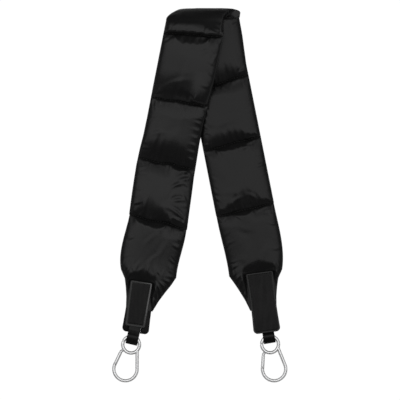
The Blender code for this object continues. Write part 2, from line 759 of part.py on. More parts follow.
def basket_path():
    """The basket's wire: down the spine, round the bottom and up to the nose."""
    points = [side_point(SIDE_LENGTH * share, -1.0) for share in (1.0, 0.5)]
    for step in range(BASKET_STEPS + 1):
        angle = math.radians(blend(180.0 + SIDE_ANGLE, -SIDE_ANGLE, step / BASKET_STEPS))
        x, y = BASKET_RADIUS * math.cos(angle), BASKET_DROP + BASKET_RADIUS * math.sin(angle)
        points.append(Vector((x, y, 0.0)))
    return points


def disc_bmesh(radius, low, high, sides=SMALL_SIDES):
    turns = [2 * math.pi * (step + 0.5) / sides for step in range(sides)]
    outline = [Vector((radius * math.cos(turn), radius * math.sin(turn))) for turn in turns]
    bm = plate_bmesh(outline, low, high)
    bmesh.ops.recalc_face_normals(bm, faces=bm.faces)
    return bm


def hinge_tongue_bmesh():
    """The flat tongue beside the eye that the gate's fork straddles."""
    pivot = side_point(GATE_PIVOT_LENGTH).to_2d()
    inward = -pivot.normalized()
    across = Vector((-inward.y, inward.x)) * TONGUE_RADIUS
    root = pivot + inward * (pivot.length - EYE_RADIUS)
    facing = math.atan2(-inward.y, -inward.x)
    outline = []
    for step in range(SMALL_SIDES // 2 + 1):
        angle = facing - math.pi / 2 + math.pi * step / (SMALL_SIDES // 2)
        outline.append(pivot + Vector((math.cos(angle), math.sin(angle))) * TONGUE_RADIUS)
    outline += [root - across, root + across]
    bm = plate_bmesh(outline, -TONGUE_THICKNESS / 2, TONGUE_THICKNESS / 2)
    bmesh.ops.recalc_face_normals(bm, faces=bm.faces)
    return bm


def pin_hole_bmesh():
    pivot = side_point(GATE_PIVOT_LENGTH)
    bm = disc_bmesh(PIN_RADIUS + RUNNING_GAP, -WIRE_DIAMETER, WIRE_DIAMETER)
    return place(bm, Matrix.Translation(pivot))


def hook_wire(leg, frame):
    """Eye, spine, basket and nose in one bent wire, with the gate's hinge tongue."""
    basket = wire_bmesh(basket_path(), WIRE_RADIUS, WIRE_SIDES, NOSE_SLOPE)
    wire = add_object(f"{leg.name}_hook_wire", basket, "metal")
    join(wire, wire_bmesh(eye_path(), WIRE_RADIUS, WIRE_SIDES), f"{leg.name}_hook_eye")
    join(wire, hinge_tongue_bmesh(), f"{leg.name}_hook_tongue")
    cut(wire, pin_hole_bmesh(), f"{leg.name}_tongue_hole")
    return placed(wire, frame)


def gate_axis_frame():
    """In the hook's plane: at the pivot, Y along the closed gate towards the nose."""
    pivot = side_point(GATE_PIVOT_LENGTH)
    along = (side_point(0.0) - pivot).normalized()
    return frame_from(pivot, Vector((along.y, -along.x, 0.0)), along)


def gate(leg, frame):
    """The round gate, forked at its pivot and cut at a slant at its tip."""
    tip = GATE_PIVOT_LENGTH - NOSE_LENGTH
    path = [Vector((0.0, place, 0.0)) for place in (-GATE_HEEL, tip / 2, tip)]
    body = wire_bmesh(path, WIRE_RADIUS - REST_GAP, WIRE_SIDES, NOSE_SLOPE)
    bar = add_object(f"{leg.name}_gate", body, "metal")
    round_end = TONGUE_RADIUS + SLOT_GAP
    slot_half = TONGUE_THICKNESS / 2 + SLOT_GAP
    slot_outline = rectangle(WIRE_DIAMETER, -WIRE_DIAMETER, round_end + SLOT_GAP)
    slot = plate_bmesh(slot_outline, -slot_half, slot_half)
    bmesh.ops.recalc_face_normals(slot, faces=slot.faces)
    cut(bar, slot, f"{leg.name}_gate_slot")
    cut(bar, disc_bmesh(PIN_RADIUS + RUNNING_GAP, -WIRE_DIAMETER, WIRE_DIAMETER), f"{leg.name}_gate_hole")
    bore = turned_bmesh(BORE_RADIUS, 0.0, round_end, round_end + SLOT_GAP + BORE_DEPTH)
    cut(bar, bore, f"{leg.name}_gate_bore")
    return placed(bar, frame @ gate_axis_frame())


def turned_bmesh(radius, inner_radius, start, end):
    """A round bar, or a sleeve where an inner radius is given, along the gate."""
    bm = bmesh.new()
    circles = []
    for r, y in ((radius, start), (radius, end), (inner_radius, end), (inner_radius, start)):
        if r == 0.0:
            continue
        turns = [2 * math.pi * (step + 0.5) / SMALL_SIDES for step in range(SMALL_SIDES)]
        circles.append([bm.verts.new((r * math.cos(t), y, r * math.sin(t))) for t in turns])
    pairs = list(zip(circles, circles[1:]))
    if inner_radius > 0.0:
        pairs.append((circles[-1], circles[0]))
    else:
        bm.faces.new(circles[0])
        bm.faces.new(circles[-1])
    for first, second in pairs:
        for step in range(SMALL_SIDES):
            other = (step + 1) % SMALL_SIDES
            bm.faces.new((first[step], first[other], second[other], second[step]))
    bmesh.ops.recalc_face_normals(bm, faces=bm.faces)
    return bm


def gate_works(leg, frame):
    """The plunger and the spring in the gate's bore."""
    radius = BORE_RADIUS - CLEARANCE / 2
    start = TONGUE_RADIUS + CLEARANCE
    spring_start = start + PLUNGER_LENGTH + CLEARANCE
    plunger = turned_bmesh(radius, 0.0, start, start + PLUNGER_LENGTH)
    sleeve = turned_bmesh(radius, radius - SPRING_WALL, spring_start, spring_start + SPRING_LENGTH)
    things = [add_object(f"{leg.name}_plunger", plunger, "metal")]
    things.append(add_object(f"{leg.name}_gate_spring", sleeve, "spring_steel"))
    return [placed(thing, frame @ gate_axis_frame()) for thing in things]


def gate_pin(leg, frame):
    pin = add_object(f"{leg.name}_gate_pin", disc_bmesh(PIN_RADIUS, -WIRE_RADIUS, WIRE_RADIUS), "metal")
    return placed(pin, frame @ Matrix.Translation(side_point(GATE_PIVOT_LENGTH)))


def seam_frame(row):
    """A bend joint's place: on the upper surface of the seam, X along the seam."""
    up = row.normal if row.normal.z > 0.0 else -row.normal
    along = up.cross(row.across)
    return frame_from(row.centre + up * SEAM_RISE, row.across, along)


def bend_frame(leg):
    """The loop's bend: on top of its tail's end in the mouth, or else over the leather's end."""
    level = TAIL_THICKNESS / 2 if leg.top else LEATHER_LEVEL + BACK_LEATHER
    return neck_frame(leg) @ Matrix.Translation((0.0, -CLEARANCE / 2, level))


def end_body(leg):
    """The last cell of a leg with its leathers and the loop's tail."""
    rows = leg.end_rows()
    pieces = [wadding_core(f"{leg.name}_end_wadding", rows[1:-1])]
    trimmed = trim_seam(leg.end_rows() + leg.tongue_rows(), start=True, end=False)
    pieces += pad_length(f"{leg.name}_end", trimmed)
    return pieces + [back_leather(leg), leather_overlay(leg), loop_tail(leg)]


def leg_body(leg):
    """The three quilted cells of the top leg, between its two bend joints."""
    pieces = pad_length("top_leg", trim_seam(leg.cell_rows(0, 3), start=True, end=True))
    for cell in range(3):
        pieces.append(wadding_core(f"top_leg_wadding_{cell + 1}", leg.cell_rows(cell, cell + 1)[1:-1]))
    return pieces


def root_body(low, top):
    """The low leg with the fold."""
    rows = low.cell_rows(0, 3)[::-1] + fold_rows(low, top)[1:]
    pieces = pad_length("low_leg", trim_seam(rows, start=True, end=True))
    pieces.append(wadding_core("fold_wadding", fold_rows(low, top)[1:-1]))
    for cell in range(3):
        pieces.append(wadding_core(f"low_leg_wadding_{cell + 1}", low.cell_rows(cell, cell + 1)[1:-1]))
    return pieces


def hook_bodies(leg):
    """The loop, the hook and the gate of one end, each on its joint's empty."""
    frame = hook_frame(leg)
    gate_empty = add_empty(f"{leg.name}_gate_joint", frame @ gate_axis_frame())
    hook_empty = add_empty(f"{leg.name}_hook_joint", frame)
    loop_empty = add_empty(f"{leg.name}_loop_joint", bend_frame(leg))
    loop = leather_loop(leg)
    wire = hook_wire(leg, frame)
    pin = gate_pin(leg, frame)
    moving = [gate(leg, frame)] + gate_works(leg, frame)
    carry(gate_empty, moving)
    carry(hook_empty, [wire, pin, gate_empty])
    carry(loop_empty, [loop, hook_empty])
    return loop_empty


def stand_on_origin():
    """Move the whole strap so that its box stands on the origin, centred."""
    bpy.context.view_layer.update()
    graph = bpy.context.evaluated_depsgraph_get()
    places = []
    for thing in bpy.data.objects:
        if thing.type == "MESH" and not thing.hide_render:
            shape = thing.evaluated_get(graph)
            places += [shape.matrix_world @ vertex.co for vertex in shape.to_mesh().vertices]
            shape.to_mesh_clear()
    low = [min(place[axis] for place in places) for axis in range(3)]
    high = [max(place[axis] for place in places) for axis in range(3)]
    shift = Vector((-(low[0] + high[0]) / 2, -(low[1] + high[1]) / 2, -low[2]))
    for thing in bpy.data.objects:
        if thing.parent is None:
            thing.matrix_world = Matrix.Translation(shift) @ thing.matrix_world
    bpy.context.view_layer.update()


def main():
    clear_scene()
    low, top = Leg("low"), Leg("top")
    root_body(low, top)
    end_empties = {}
    for leg in (low, top):
        last_seam = seam_frame(leg.row(leg.seams[3], SEAM_RISE))
        end_empties[leg.name] = add_empty(f"{leg.name}_end_joint", last_seam)
        carry(end_empties[leg.name], end_body(leg) + [hook_bodies(leg)])
    leg_empty = add_empty("top_leg_joint", seam_frame(top.row(top.seams[0], SEAM_RISE)))
    carry(leg_empty, leg_body(top) + [end_empties["top"]])
    stand_on_origin()


main()
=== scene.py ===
"""Padded, quilted bag strap with leather ends and snap hooks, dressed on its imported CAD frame.

Metres, in the CAD's frame: the strap lies on z = 0 with its fold at +Y, the top leg's end at -X and the low
leg's end at +X.
"""
import json
import math
import random

import bmesh
import bpy
import numpy as np
from mathutils import Matrix, Vector


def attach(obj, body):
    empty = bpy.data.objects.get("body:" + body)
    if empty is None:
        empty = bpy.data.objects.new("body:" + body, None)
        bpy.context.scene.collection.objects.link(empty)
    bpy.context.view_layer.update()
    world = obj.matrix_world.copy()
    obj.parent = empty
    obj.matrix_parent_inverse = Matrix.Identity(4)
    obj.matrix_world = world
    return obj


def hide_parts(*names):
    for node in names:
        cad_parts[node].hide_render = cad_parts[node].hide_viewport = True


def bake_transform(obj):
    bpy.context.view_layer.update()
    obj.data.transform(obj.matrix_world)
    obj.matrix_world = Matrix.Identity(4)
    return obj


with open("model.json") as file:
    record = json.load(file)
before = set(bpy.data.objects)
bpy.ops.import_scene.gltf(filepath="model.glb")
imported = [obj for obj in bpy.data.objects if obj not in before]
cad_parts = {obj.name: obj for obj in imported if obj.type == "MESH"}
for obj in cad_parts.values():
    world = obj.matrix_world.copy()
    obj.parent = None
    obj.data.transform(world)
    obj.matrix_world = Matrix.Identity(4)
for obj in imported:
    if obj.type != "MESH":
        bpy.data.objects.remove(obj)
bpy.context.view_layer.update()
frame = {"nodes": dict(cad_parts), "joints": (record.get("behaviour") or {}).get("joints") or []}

MM = 0.001
PIXEL = 1.186 * MM
PHOTO_WIDTH = 400

# Sizes repeated from the CAD source
CLEARANCE = 0.3 * MM
HALF_WIDTH = 35.0 * MM
CROWN = 6.25 * MM
SEAM_RISE = 1.5 * MM
PAD_LEVEL = 5.75 * MM
PITCH = 74.8 * MM
FOLD_RADIUS = 10.0 * MM
FOLD_DRIFT = 14.0 * MM
FOLD_YAW = math.radians(2.0)
DRIFT_START = 0.33
DESCENT = 185.0 * MM
ROLL_PEAK = 4.0
SLOPE_STEP = 1.5 * MM
EDGE_STRAY = 4.2 * MM
EDGE_RISE = 0.65 * MM
TONGUE_RISE = 1.3 * MM
TONGUE_LENGTH = 44.0 * MM
LEATHER_LEVEL = 1.6 * MM
BACK_LEATHER = 1.4 * MM
OVERLAY_LEATHER = 1.6 * MM
TAB_LENGTH = 72.2 * MM
TAB_WIDTH = 32.4 * MM
TAB_CORNER, TAB_TOP_CORNER = 5.0 * MM, 2.0 * MM
WAIST_SHARE = 0.06
WAIST_STOPS = (0.15, 0.3, 0.45, 0.6, 0.75)
MOUTH_DEPTH = 7.17 * MM
OVERLAY_START, OVERLAY_END = 10.6 * MM, 64.73 * MM
OVERLAY_HALVES = (13.2 * MM, 11.7 * MM)
OVERLAY_CORNER = 2.2 * MM
LOOP_SHIFT = 1.1 * MM
WIRE = 2.07 * MM
EYE = 10.0 * MM
BASKET = 13.8 * MM
DROP = 30.0 * MM
EYE_SPLIT = 0.35 * MM
EYE_SPLIT_TURN = math.radians(10.0)
SIDE_ANGLE = 12.6
SIDE_LENGTH = 21.5 * MM
PIVOT_LENGTH = 16.8 * MM
LOOP_INSIDE = WIRE + CLEARANCE
LOOP_LEATHER = 1.3 * MM
LOOP_OUTSIDE = LOOP_INSIDE + LOOP_LEATHER
LOOP_LEVEL = LOOP_OUTSIDE + CLEARANCE
HOOK_SLOPE = math.asin((LOOP_LEVEL - WIRE - 0.03 * MM) / (EYE + DROP + BASKET))

# Each leg's own sizes. The shares and yaws are those of its four cells and seams, from the fold outwards
TOP_SIZES = dict(
    tilt=10.73, yaws=(-3.5, -10.0, -12.1, -15.0), shares=(1.07, 1.00, 0.93, 0.84), first_seam=17.5 * MM,
    tab_tilt=8.5, tab_shift=5.5 * MM, tab_rise=1.4 * MM, hook_tilt=13.0,
    setback=3.2 * MM, eye_reach=14.5 * MM, loop_reach=14.6 * MM,
    edges=((0.0, 0.0, 0.0), (0.802, -0.14, -0.14), (1.136, -0.24, -0.36), (1.404, -0.26, -0.71),
           (1.658, -0.29, -0.95), (1.912, -0.38, -1.0), (2.166, -0.67, -0.86), (2.42, -0.79, -0.76),
           (2.674, -0.67, -0.48), (2.941, -0.48, -0.24), (3.235, -0.19, 0.07)),
    taper=((0.0, 1.11, 0.79), (0.22, 0.98, 0.62), (0.45, 0.81, 0.54), (0.70, 0.64, 0.475), (1.0, 0.48, 0.43)),
)
LOW_SIZES = dict(
    tilt=11.09, yaws=(12.0, 16.0, 14.3, 13.2), shares=(0.94, 0.98, 1.07, 1.02), first_seam=4.0 * MM,
    tab_tilt=7.6, tab_shift=2.4 * MM, tab_rise=1.6 * MM, hook_tilt=9.3,
    setback=-0.3 * MM, eye_reach=14.3 * MM, loop_reach=13.2 * MM,
    edges=((0.0, 0.57, 0.0), (0.334, 0.48, 0.0), (0.802, 0.0, 0.0), (3.048, 0.14, 0.0)),
    taper=((0.0, 1.03, 0.79), (0.22, 0.88, 0.62), (0.45, 0.74, 0.54), (0.70, 0.60, 0.475), (1.0, 0.47, 0.43)),
)

# The top leg's rise in its first three cells in mm, and how it is shared along a cell
CELL_SWELLS = (2.6, 2.2, 0.6)
SWELL_STOPS = ((0.0, 0.0), (0.35, 0.62), (0.62, 1.0), (1.0, 0.0))
SWELL_BLUR = range(-7, 8)

# The fold's half width at its right edge along its turn, as shares of the left one
FOLD_RIGHT_STOPS = (
    (0.0, 1.065), (0.35, 1.08), (0.49, 1.08), (0.55, 1.02), (0.61, 0.945), (0.75, 0.92), (1.0, 0.93),
)


def smooth(t):
    t = np.clip(t, 0.0, 1.0)
    return t * t * (3.0 - 2.0 * t)


def mix(a, b, t):
    return a + (b - a) * t


def unit(v):
    return v / np.linalg.norm(v, axis=-1, keepdims=True)


def blurred(values, times):
    """The values, each mixed with its two neighbours so many times."""
    for _ in range(times):
        values[1:-1] = 0.25 * values[:-2] + 0.5 * values[1:-1] + 0.25 * values[2:]
    return values


# Materials


def node(tree, kind, **values):
    """A new node. A value whose name starts with in_ goes into the input of that name."""
    made = tree.nodes.new(kind)
    for key, value in values.items():
        if key.startswith("in_"):
            made.inputs[key[3:].replace("_", " ")].default_value = value
        else:
            setattr(made, key, value)
    return made


def link(tree, start, end):
    tree.links.new(start, end)


def maths(tree, operation, a, b):
    made = node(tree, "ShaderNodeMath", operation=operation)
    for index, value in enumerate((a, b)):
        if isinstance(value, (int, float)):
            made.inputs[index].default_value = value
        else:
            link(tree, value, made.inputs[index])
    return made.outputs[0]


def scaled(tree, value, share, more):
    """The value times the share, and more added."""
    return maths(tree, "ADD", maths(tree, "MULTIPLY", value, share), more)


def noise(tree, coordinates, scale, detail, roughness):
    made = node(tree, "ShaderNodeTexNoise", in_Scale=scale, in_Detail=detail, in_Roughness=roughness)
    link(tree, coordinates, made.inputs["Vector"])
    return made.outputs["Fac"]


def ranged(tree, value, start, end, low, high):
    """From low at the start to high at the end, and held at these beyond them."""
    made = node(tree, "ShaderNodeMapRange", in_From_Min=start, in_From_Max=end, in_To_Min=low, in_To_Max=high)
    link(tree, value, made.inputs["Value"])
    return made.outputs["Result"]


def ramp(tree, factor, *stops):
    made = node(tree, "ShaderNodeValToRGB")
    for element, (place, colour) in zip(made.color_ramp.elements, stops):
        element.position = place
        element.color = (*colour, 1.0)
    link(tree, factor, made.inputs["Fac"])
    return made.outputs["Color"]


def bump(tree, height, strength, distance, before=None):
    made = node(tree, "ShaderNodeBump", in_Strength=strength, in_Distance=distance)
    link(tree, height, made.inputs["Height"])
    if before is not None:
        link(tree, before, made.inputs["Normal"])
    return made.outputs["Normal"]


def new_material(name):
    """A material, its node tree, its shader's inputs and the coordinates on the piece."""
    material = bpy.data.materials.new(name)
    material.use_nodes = True
    tree = material.node_tree
    place = node(tree, "ShaderNodeTexCoord").outputs["Object"]
    return material, tree, tree.nodes["Principled BSDF"].inputs, place


WEAVE_PITCH = 0.55 * MM
NYLON_COLOURS = ((0.0065, 0.0065, 0.0067), (0.0085, 0.0084, 0.0086))


def make_nylon(name, shine):
    """Black satin nylon: a fine plain weave, a soft sheen and slight crinkles."""
    material, tree, shader, place = new_material(name)
    separate = node(tree, "ShaderNodeSeparateXYZ")
    link(tree, node(tree, "ShaderNodeTexCoord").outputs["UV"], separate.inputs[0])
    threads = [maths(tree, "SINE", maths(tree, "MULTIPLY", axis, 2 * math.pi / WEAVE_PITCH), 0.0)
               for axis in separate.outputs[:2]]
    weave = maths(tree, "MULTIPLY", *threads)
    crinkle = noise(tree, place, 90.0, 5.0, 0.6)
    broad = noise(tree, place, 22.0, 3.0, 0.5)
    link(tree, ramp(tree, broad, *zip((0.3, 0.7), NYLON_COLOURS)), shader["Base Color"])
    link(tree, scaled(tree, broad, 0.08, 0.25), shader["Roughness"])
    shader["Specular IOR Level"].default_value = shine
    shader["Sheen Weight"].default_value = 0.03
    shader["Sheen Roughness"].default_value = 0.35
    first = bump(tree, crinkle, 0.22, 0.5 * MM)
    link(tree, bump(tree, weave, 0.10, 0.04 * MM, first), shader["Normal"])
    return material


# Directions across and along the top end's leather, with where its edges start and stop getting duller
DULL_WAYS = (((0.954, -0.298, 0.0), -0.024, -0.037), ((-0.298, -0.954, 0.0), 0.146, 0.166))


def dull_share(tree, place):
    """How dull the top end's edges are: most towards the left and towards the hook."""
    shares = []
    for way, start, end in DULL_WAYS:
        product = node(tree, "ShaderNodeVectorMath", operation="DOT_PRODUCT")
        link(tree, place, product.inputs[0])
        product.inputs[1].default_value = way
        shares.append(ranged(tree, product.outputs["Value"], start, end, 0.0, 1.0))
    return maths(tree, "MAXIMUM", *shares)


def make_leather(name, dark, light, roughness, shine, dull=0.0):
    """Smooth black leather with a fine grain, broad creases and polished high spots."""
    material, tree, shader, place = new_material(name)
    cells = node(tree, "ShaderNodeTexVoronoi", in_Scale=1500.0, feature="DISTANCE_TO_EDGE")
    link(tree, place, cells.inputs["Vector"])
    grain = ramp(tree, cells.outputs["Distance"], (0.0, (0, 0, 0)), (0.18, (1, 1, 1)))
    broad = noise(tree, place, 45.0, 4.0, 0.55)
    stretch = node(tree, "ShaderNodeMapping", in_Scale=(1.0, 0.16, 1.0))
    link(tree, place, stretch.inputs["Vector"])
    streaks = noise(tree, stretch.outputs["Vector"], 260.0, 3.0, 0.5)
    tone = scaled(tree, broad, 0.5, maths(tree, "MULTIPLY", streaks, 0.5))
    link(tree, ramp(tree, tone, (0.38, dark), (0.62, light)), shader["Base Color"])
    rough = scaled(tree, broad, 0.16, roughness)
    if dull:
        rough = scaled(tree, dull_share(tree, place), dull, rough)
    link(tree, rough, shader["Roughness"])
    shader["Specular IOR Level"].default_value = shine
    first = bump(tree, broad, 0.30, 1.0 * MM)
    link(tree, bump(tree, grain, 0.20, 0.05 * MM, first), shader["Normal"])
    return material


def make_metal(name, colour, roughness, scratch):
    """Polished metal with very fine wear."""
    material, tree, shader, place = new_material(name)
    fine = noise(tree, place, 900.0, 3.0, 0.6)
    broad = noise(tree, place, 120.0, 2.0, 0.5)
    shader["Metallic"].default_value = 0.92
    low = tuple(part * 0.94 for part in colour)
    link(tree, ramp(tree, broad, (0.3, low), (0.7, colour)), shader["Base Color"])
    link(tree, scaled(tree, fine, scratch, roughness), shader["Roughness"])
    link(tree, bump(tree, broad, 0.03, 0.05 * MM), shader["Normal"])
    return material


def make_thread():
    """Black sewing thread with its twist."""
    material, tree, shader, place = new_material("black_thread")
    twist = node(tree, "ShaderNodeTexWave", in_Scale=900.0, in_Distortion=1.0)
    link(tree, place, twist.inputs["Vector"])
    tone = ramp(tree, twist.outputs["Fac"], (0.0, (0.008, 0.008, 0.008)), (1.0, (0.022, 0.022, 0.022)))
    link(tree, tone, shader["Base Color"])
    shader["Roughness"].default_value = 0.6
    link(tree, bump(tree, twist.outputs["Fac"], 0.4, 0.05 * MM), shader["Normal"])
    return material


LEATHER_COLOURS = ((0.0028, 0.0027, 0.0028), (0.0100, 0.0096, 0.0098))
FACE_NYLON = make_nylon("satin_nylon", 0.26)
BACK_NYLON = make_nylon("satin_nylon_back", 0.225)
LEATHER = make_leather("black_leather", *LEATHER_COLOURS, 0.30, 0.14)
# Edge paint for the top end's edges: a glossy finish, made lighter and shinier than on the low end as a
# painted highlight where the light catches those rims. The low end's edges get a duller copy of the same
# edge, as painted shade
LIT_EDGE_PAINT = make_leather("leather_edge_paint_lit", (0.002,) * 3, (0.016,) * 3, 0.18, 0.95, 0.42)
SHADED_EDGE = make_leather("leather_edge_shaded", *LEATHER_COLOURS, 0.24, 0.30)
# The loops' leather: the tabs' black leather painted darker, as painted shade on the loops
SHADED_LOOP_LEATHER = make_leather("black_loop_leather", (0.002,) * 3, (0.006,) * 3, 0.26, 0.20)
SILVER = make_metal("polished_silver", (0.97, 0.97, 0.975), 0.30, 0.05)
STEEL = make_metal("spring_steel", (0.55, 0.55, 0.56), 0.28, 0.15)
THREAD = make_thread()


# The strap's rows: the same lines as the CAD's, read at any distance


def heading_at(tilt):
    """The flat direction away from the fold, turned by the tilt."""
    return np.array((math.sin(tilt), -math.cos(tilt), 0.0))


def beside(way):
    """The flat direction a quarter turn to the left."""
    return np.array((-way[1], way[0], 0.0))


class Leg:
    """One leg of the strap and its end, with its own sizes."""

    def __init__(self, name, side, sizes):
        vars(self).update(sizes)
        self.name, self.side, self.top = name, side, side < 0
        self.tilt, self.tab_tilt, self.hook_tilt = [
            math.radians(side * sizes[key]) for key in ("tilt", "tab_tilt", "hook_tilt")]
        self.yaws = np.radians(sizes["yaws"])
        self.edges, self.taper = np.array(sizes["edges"]), np.array(sizes["taper"])
        self.seams = [self.first_seam]
        for share in self.shares[:3]:
            self.seams.append(self.seams[-1] + share * PITCH)
        self.end_length = self.shares[3] * PITCH
        self.start = np.array((side * FOLD_DRIFT / 2, 0.0, 0.0))
        self.heading, self.tab_heading = heading_at(self.tilt), heading_at(self.tab_tilt)
        self.fold_yaw = mix(FOLD_YAW, self.yaws[0], 0.5)

    def ordered(self, outer, inner):
        """The values of the outer and the inner edge in the order -X, +X."""
        return (outer, inner) if self.top else (inner, outer)

    def level(self, d):
        """How high the leg's middle lies: the top leg comes down from the fold and swells in each cell."""
        if not self.top:
            return PAD_LEVEL + 0.0 * d
        places, rises = [0.0], [0.0]
        for low, high, rise in zip(self.seams, self.seams[1:], CELL_SWELLS):
            places += [mix(low, high, place) for place, _ in SWELL_STOPS]
            rises += [share * rise * MM for _, share in SWELL_STOPS]
        swell = sum(np.interp(d + step * MM, places, rises) for step in SWELL_BLUR) / len(SWELL_BLUR)
        return mix(PAD_LEVEL + 2 * FOLD_RADIUS, PAD_LEVEL, smooth(d / DESCENT)) + swell

    def rows(self, d):
        """Middles, across directions, normals and half widths at these distances from the fold."""
        d = np.atleast_1d(np.asarray(d, float))
        yaw = np.interp(d, [0.0] + self.seams, [self.fold_yaw] + list(self.yaws))
        peak = np.radians(ROLL_PEAK) if self.top else 0.0
        roll = peak * np.sin(math.pi * np.clip(d / DESCENT, 0.0, 1.0)) ** 2
        across = np.stack([np.cos(yaw) * np.cos(roll), np.sin(yaw) * np.cos(roll), np.sin(roll)], 1)
        rise = (self.level(d + SLOPE_STEP) - self.level(d - SLOPE_STEP)) / (2 * SLOPE_STEP)
        along = -self.side * unit(self.heading + np.stack([0 * d, 0 * d, rise], 1))
        centre = self.start + self.heading * d[:, None]
        centre[:, 2] = self.level(d)
        strays = [np.interp(d / PITCH, self.edges[:, 0], self.edges[:, k]) * EDGE_STRAY for k in (1, 2)]
        left, right = self.ordered(*strays)
        centre = centre + across * ((left + right) / 2)[:, None]
        half = HALF_WIDTH / np.cos(yaw - self.tilt) + (right - left) / 2
        widen = (FOLD_RIGHT_STOPS[-1][1] - 1.0) * (1.0 - smooth(d / self.seams[0])) if self.top else 0.0
        return centre, across, unit(np.cross(along, across)), np.stack([half, half * (1.0 + widen)], 1)

    def tab_origin(self):
        """The middle of the leather's edge on the pad."""
        outwards = beside(self.heading) * self.side
        flat = self.start + self.heading * (self.seams[3] + self.end_length) + outwards * self.tab_shift
        return np.array((flat[0], flat[1], LEATHER_LEVEL + self.tab_rise))

    def end_rows(self, t):
        """Rows of the last cell at these shares of its length."""
        tab = self.tab_origin()
        start, first, _, _ = self.rows(self.seams[3])
        reach = np.linalg.norm(tab - start[0])
        c0, c1 = start[0], tab
        s0, s1 = self.heading * reach, self.tab_heading * reach
        q, c = (t ** 2)[:, None], (t ** 3)[:, None]
        centre = c0 * (2 * c - 3 * q + 1) + c1 * (3 * q - 2 * c)
        centre = centre + s0 * (c - 2 * q + t[:, None]) + s1 * (c - q)
        centre[:, 2] = mix(c0[2], c1[2], smooth(t))
        across = unit(mix(first[0], beside(self.tab_heading), smooth(t)[:, None]))
        inner = HALF_WIDTH * mix(1.0, self.taper[0, 1], t)
        outer = HALF_WIDTH * mix(1.0, self.taper[0, 2], t * t * t)
        along = -self.side * mix(self.heading, self.tab_heading, t[:, None])
        return centre, across, unit(np.cross(along, across)), np.stack(self.ordered(outer, inner), 1)

    def tongue_rows(self, t):
        """Rows of the tongue under the leather at these shares of its length."""
        inner, outer = [HALF_WIDTH * np.interp(t, self.taper[:, 0], self.taper[:, k]) for k in (1, 2)]
        centre = self.tab_origin() + self.tab_heading * (t * TONGUE_LENGTH)[:, None]
        across = np.tile(beside(self.tab_heading), (len(t), 1))
        normal = np.cross(-self.side * self.tab_heading, across)
        return centre, across, unit(normal), np.stack(self.ordered(outer, inner), 1)


LOW, TOP = Leg("low", 1.0, LOW_SIZES), Leg("top", -1.0, TOP_SIZES)

# Where the middle of the fold lies in the frame, from the joint at the low leg's last seam
LOW_LIFT = next(joint for joint in frame["joints"] if joint["name"] == "low_end_lift")
ORIGIN = np.array(LOW_LIFT["pos_m"]) - (LOW.rows(LOW.seams[3])[0][0] + np.array((0.0, 0.0, SEAM_RISE)))


def fold_turn(angle):
    """Rows on the fold's half turn, from the low leg (0) to the top leg (pi)."""
    share = angle / math.pi
    drift = smooth((share - DRIFT_START) / (1.0 - DRIFT_START))
    centre = np.stack([mix(LOW.start[0], TOP.start[0], drift), FOLD_RADIUS * np.sin(angle),
                       PAD_LEVEL + FOLD_RADIUS * (1.0 - np.cos(angle))], 1)
    yaw = np.interp(share, [0.0, 0.5, 1.0], [LOW.fold_yaw, FOLD_YAW, TOP.fold_yaw])
    across = unit(np.stack([np.cos(yaw), np.sin(yaw) * np.abs(np.cos(angle)), 0 * angle], 1))
    along = np.stack([0 * angle, np.cos(angle), np.sin(angle)], 1)
    left = np.full(len(angle), HALF_WIDTH / math.cos(LOW.tilt))
    right = left * np.interp(share, *zip(*FOLD_RIGHT_STOPS))
    return centre, across, unit(np.cross(along, across)), np.stack([left, right], 1)


def joined(*groups):
    """Groups of rows, one after the other."""
    return [np.concatenate(parts) for parts in zip(*groups)]


def frame_from(centre, across, along):
    """A place whose X runs across and whose Y runs along."""
    turn = Matrix((across, along, across.cross(along))).transposed().to_4x4()
    return Matrix.Translation(centre) @ turn


def tab_frame(leg):
    """At the leather's edge on the pad, Y towards the hook."""
    across = Vector(beside(leg.tab_heading)) * leg.side
    return frame_from(Vector(leg.tab_origin() + ORIGIN), across, Vector(leg.tab_heading))


# Relief of the padded cloth

SHOWN_FULLNESS, HIDDEN_FULLNESS = 1.12, 0.97
SEAM_BASE = SEAM_RISE * 0.6
PINCH_REACH = 1.3 * MM
STEEP_REACH = 2.6 * MM
POOL_START = 6.0 * MM
SHORT_REACH = 6.0
WINDOW_FADE = 1.2 * MM
COLUMNS = 84
SWAY = 0.7 * MM
SWAY_REACH = 9.0 * MM
LAID_LEVEL = PAD_LEVEL + 3.0 * MM
# Inside the fold the low leg's first seam isn't pulled in, so the slopes there start this far along
INNER_LEAD = 6.0 * MM


class Cell:
    """One quilted cell: its rows, its own small folds, and how far its slopes reach from either seam.

    The reaches are (place across, mm) lists for the side that the photograph shows: from the seam nearer the
    fold, and from the other one. The rows of a flipped cell run towards the fold, and its back shows.
    """

    def __init__(self, rows, u, length, seed, leg, seams, reaches, flip=False, fold=False, lift=None,
                 pools=None):
        self.rows, self.u, self.length, self.seed, self.leg, self.seams = rows, u, length, seed, leg, seams
        self.reaches, self.flip, self.fold, self.lift, self.pools = reaches, flip, fold, lift, pools
        self.shown_side = -1.0 if flip else 1.0


def waves(v, seed, count, slow, fast):
    """The sum of some random waves across the strap."""
    r = random.Random(seed)
    return sum(np.sin(r.uniform(slow, fast) * v + r.uniform(0.0, 2 * math.pi)) for _ in range(count))


def random_reach(seed, deep):
    """The reaches for a side that the photograph doesn't show, deepest in one stretch of the seam."""
    r = random.Random(seed)
    middle, width, depth = r.uniform(-0.35, 0.35), r.uniform(0.4, 0.75), r.uniform(0.5, 1.0) * deep
    return [(v, mix(SHORT_REACH, depth, max(0.0, 1.0 - ((v - middle) / width) ** 2)))
            for v in np.linspace(-1, 1, 21)]


def teeth(v, seed):
    """Small uneven steps across the strap, between about -1 and 1, from the gathers along a seam."""
    return waves(v, seed, 9, 7.0, 34.0) / 4.0


def read_reach(stops, v):
    """The reach in metres at each place across, with the stops' corners rounded off."""
    fine = np.linspace(-1.0, 1.0, 161)
    return np.interp(v, fine, blurred(np.interp(fine, *zip(*stops)), 60)) * MM


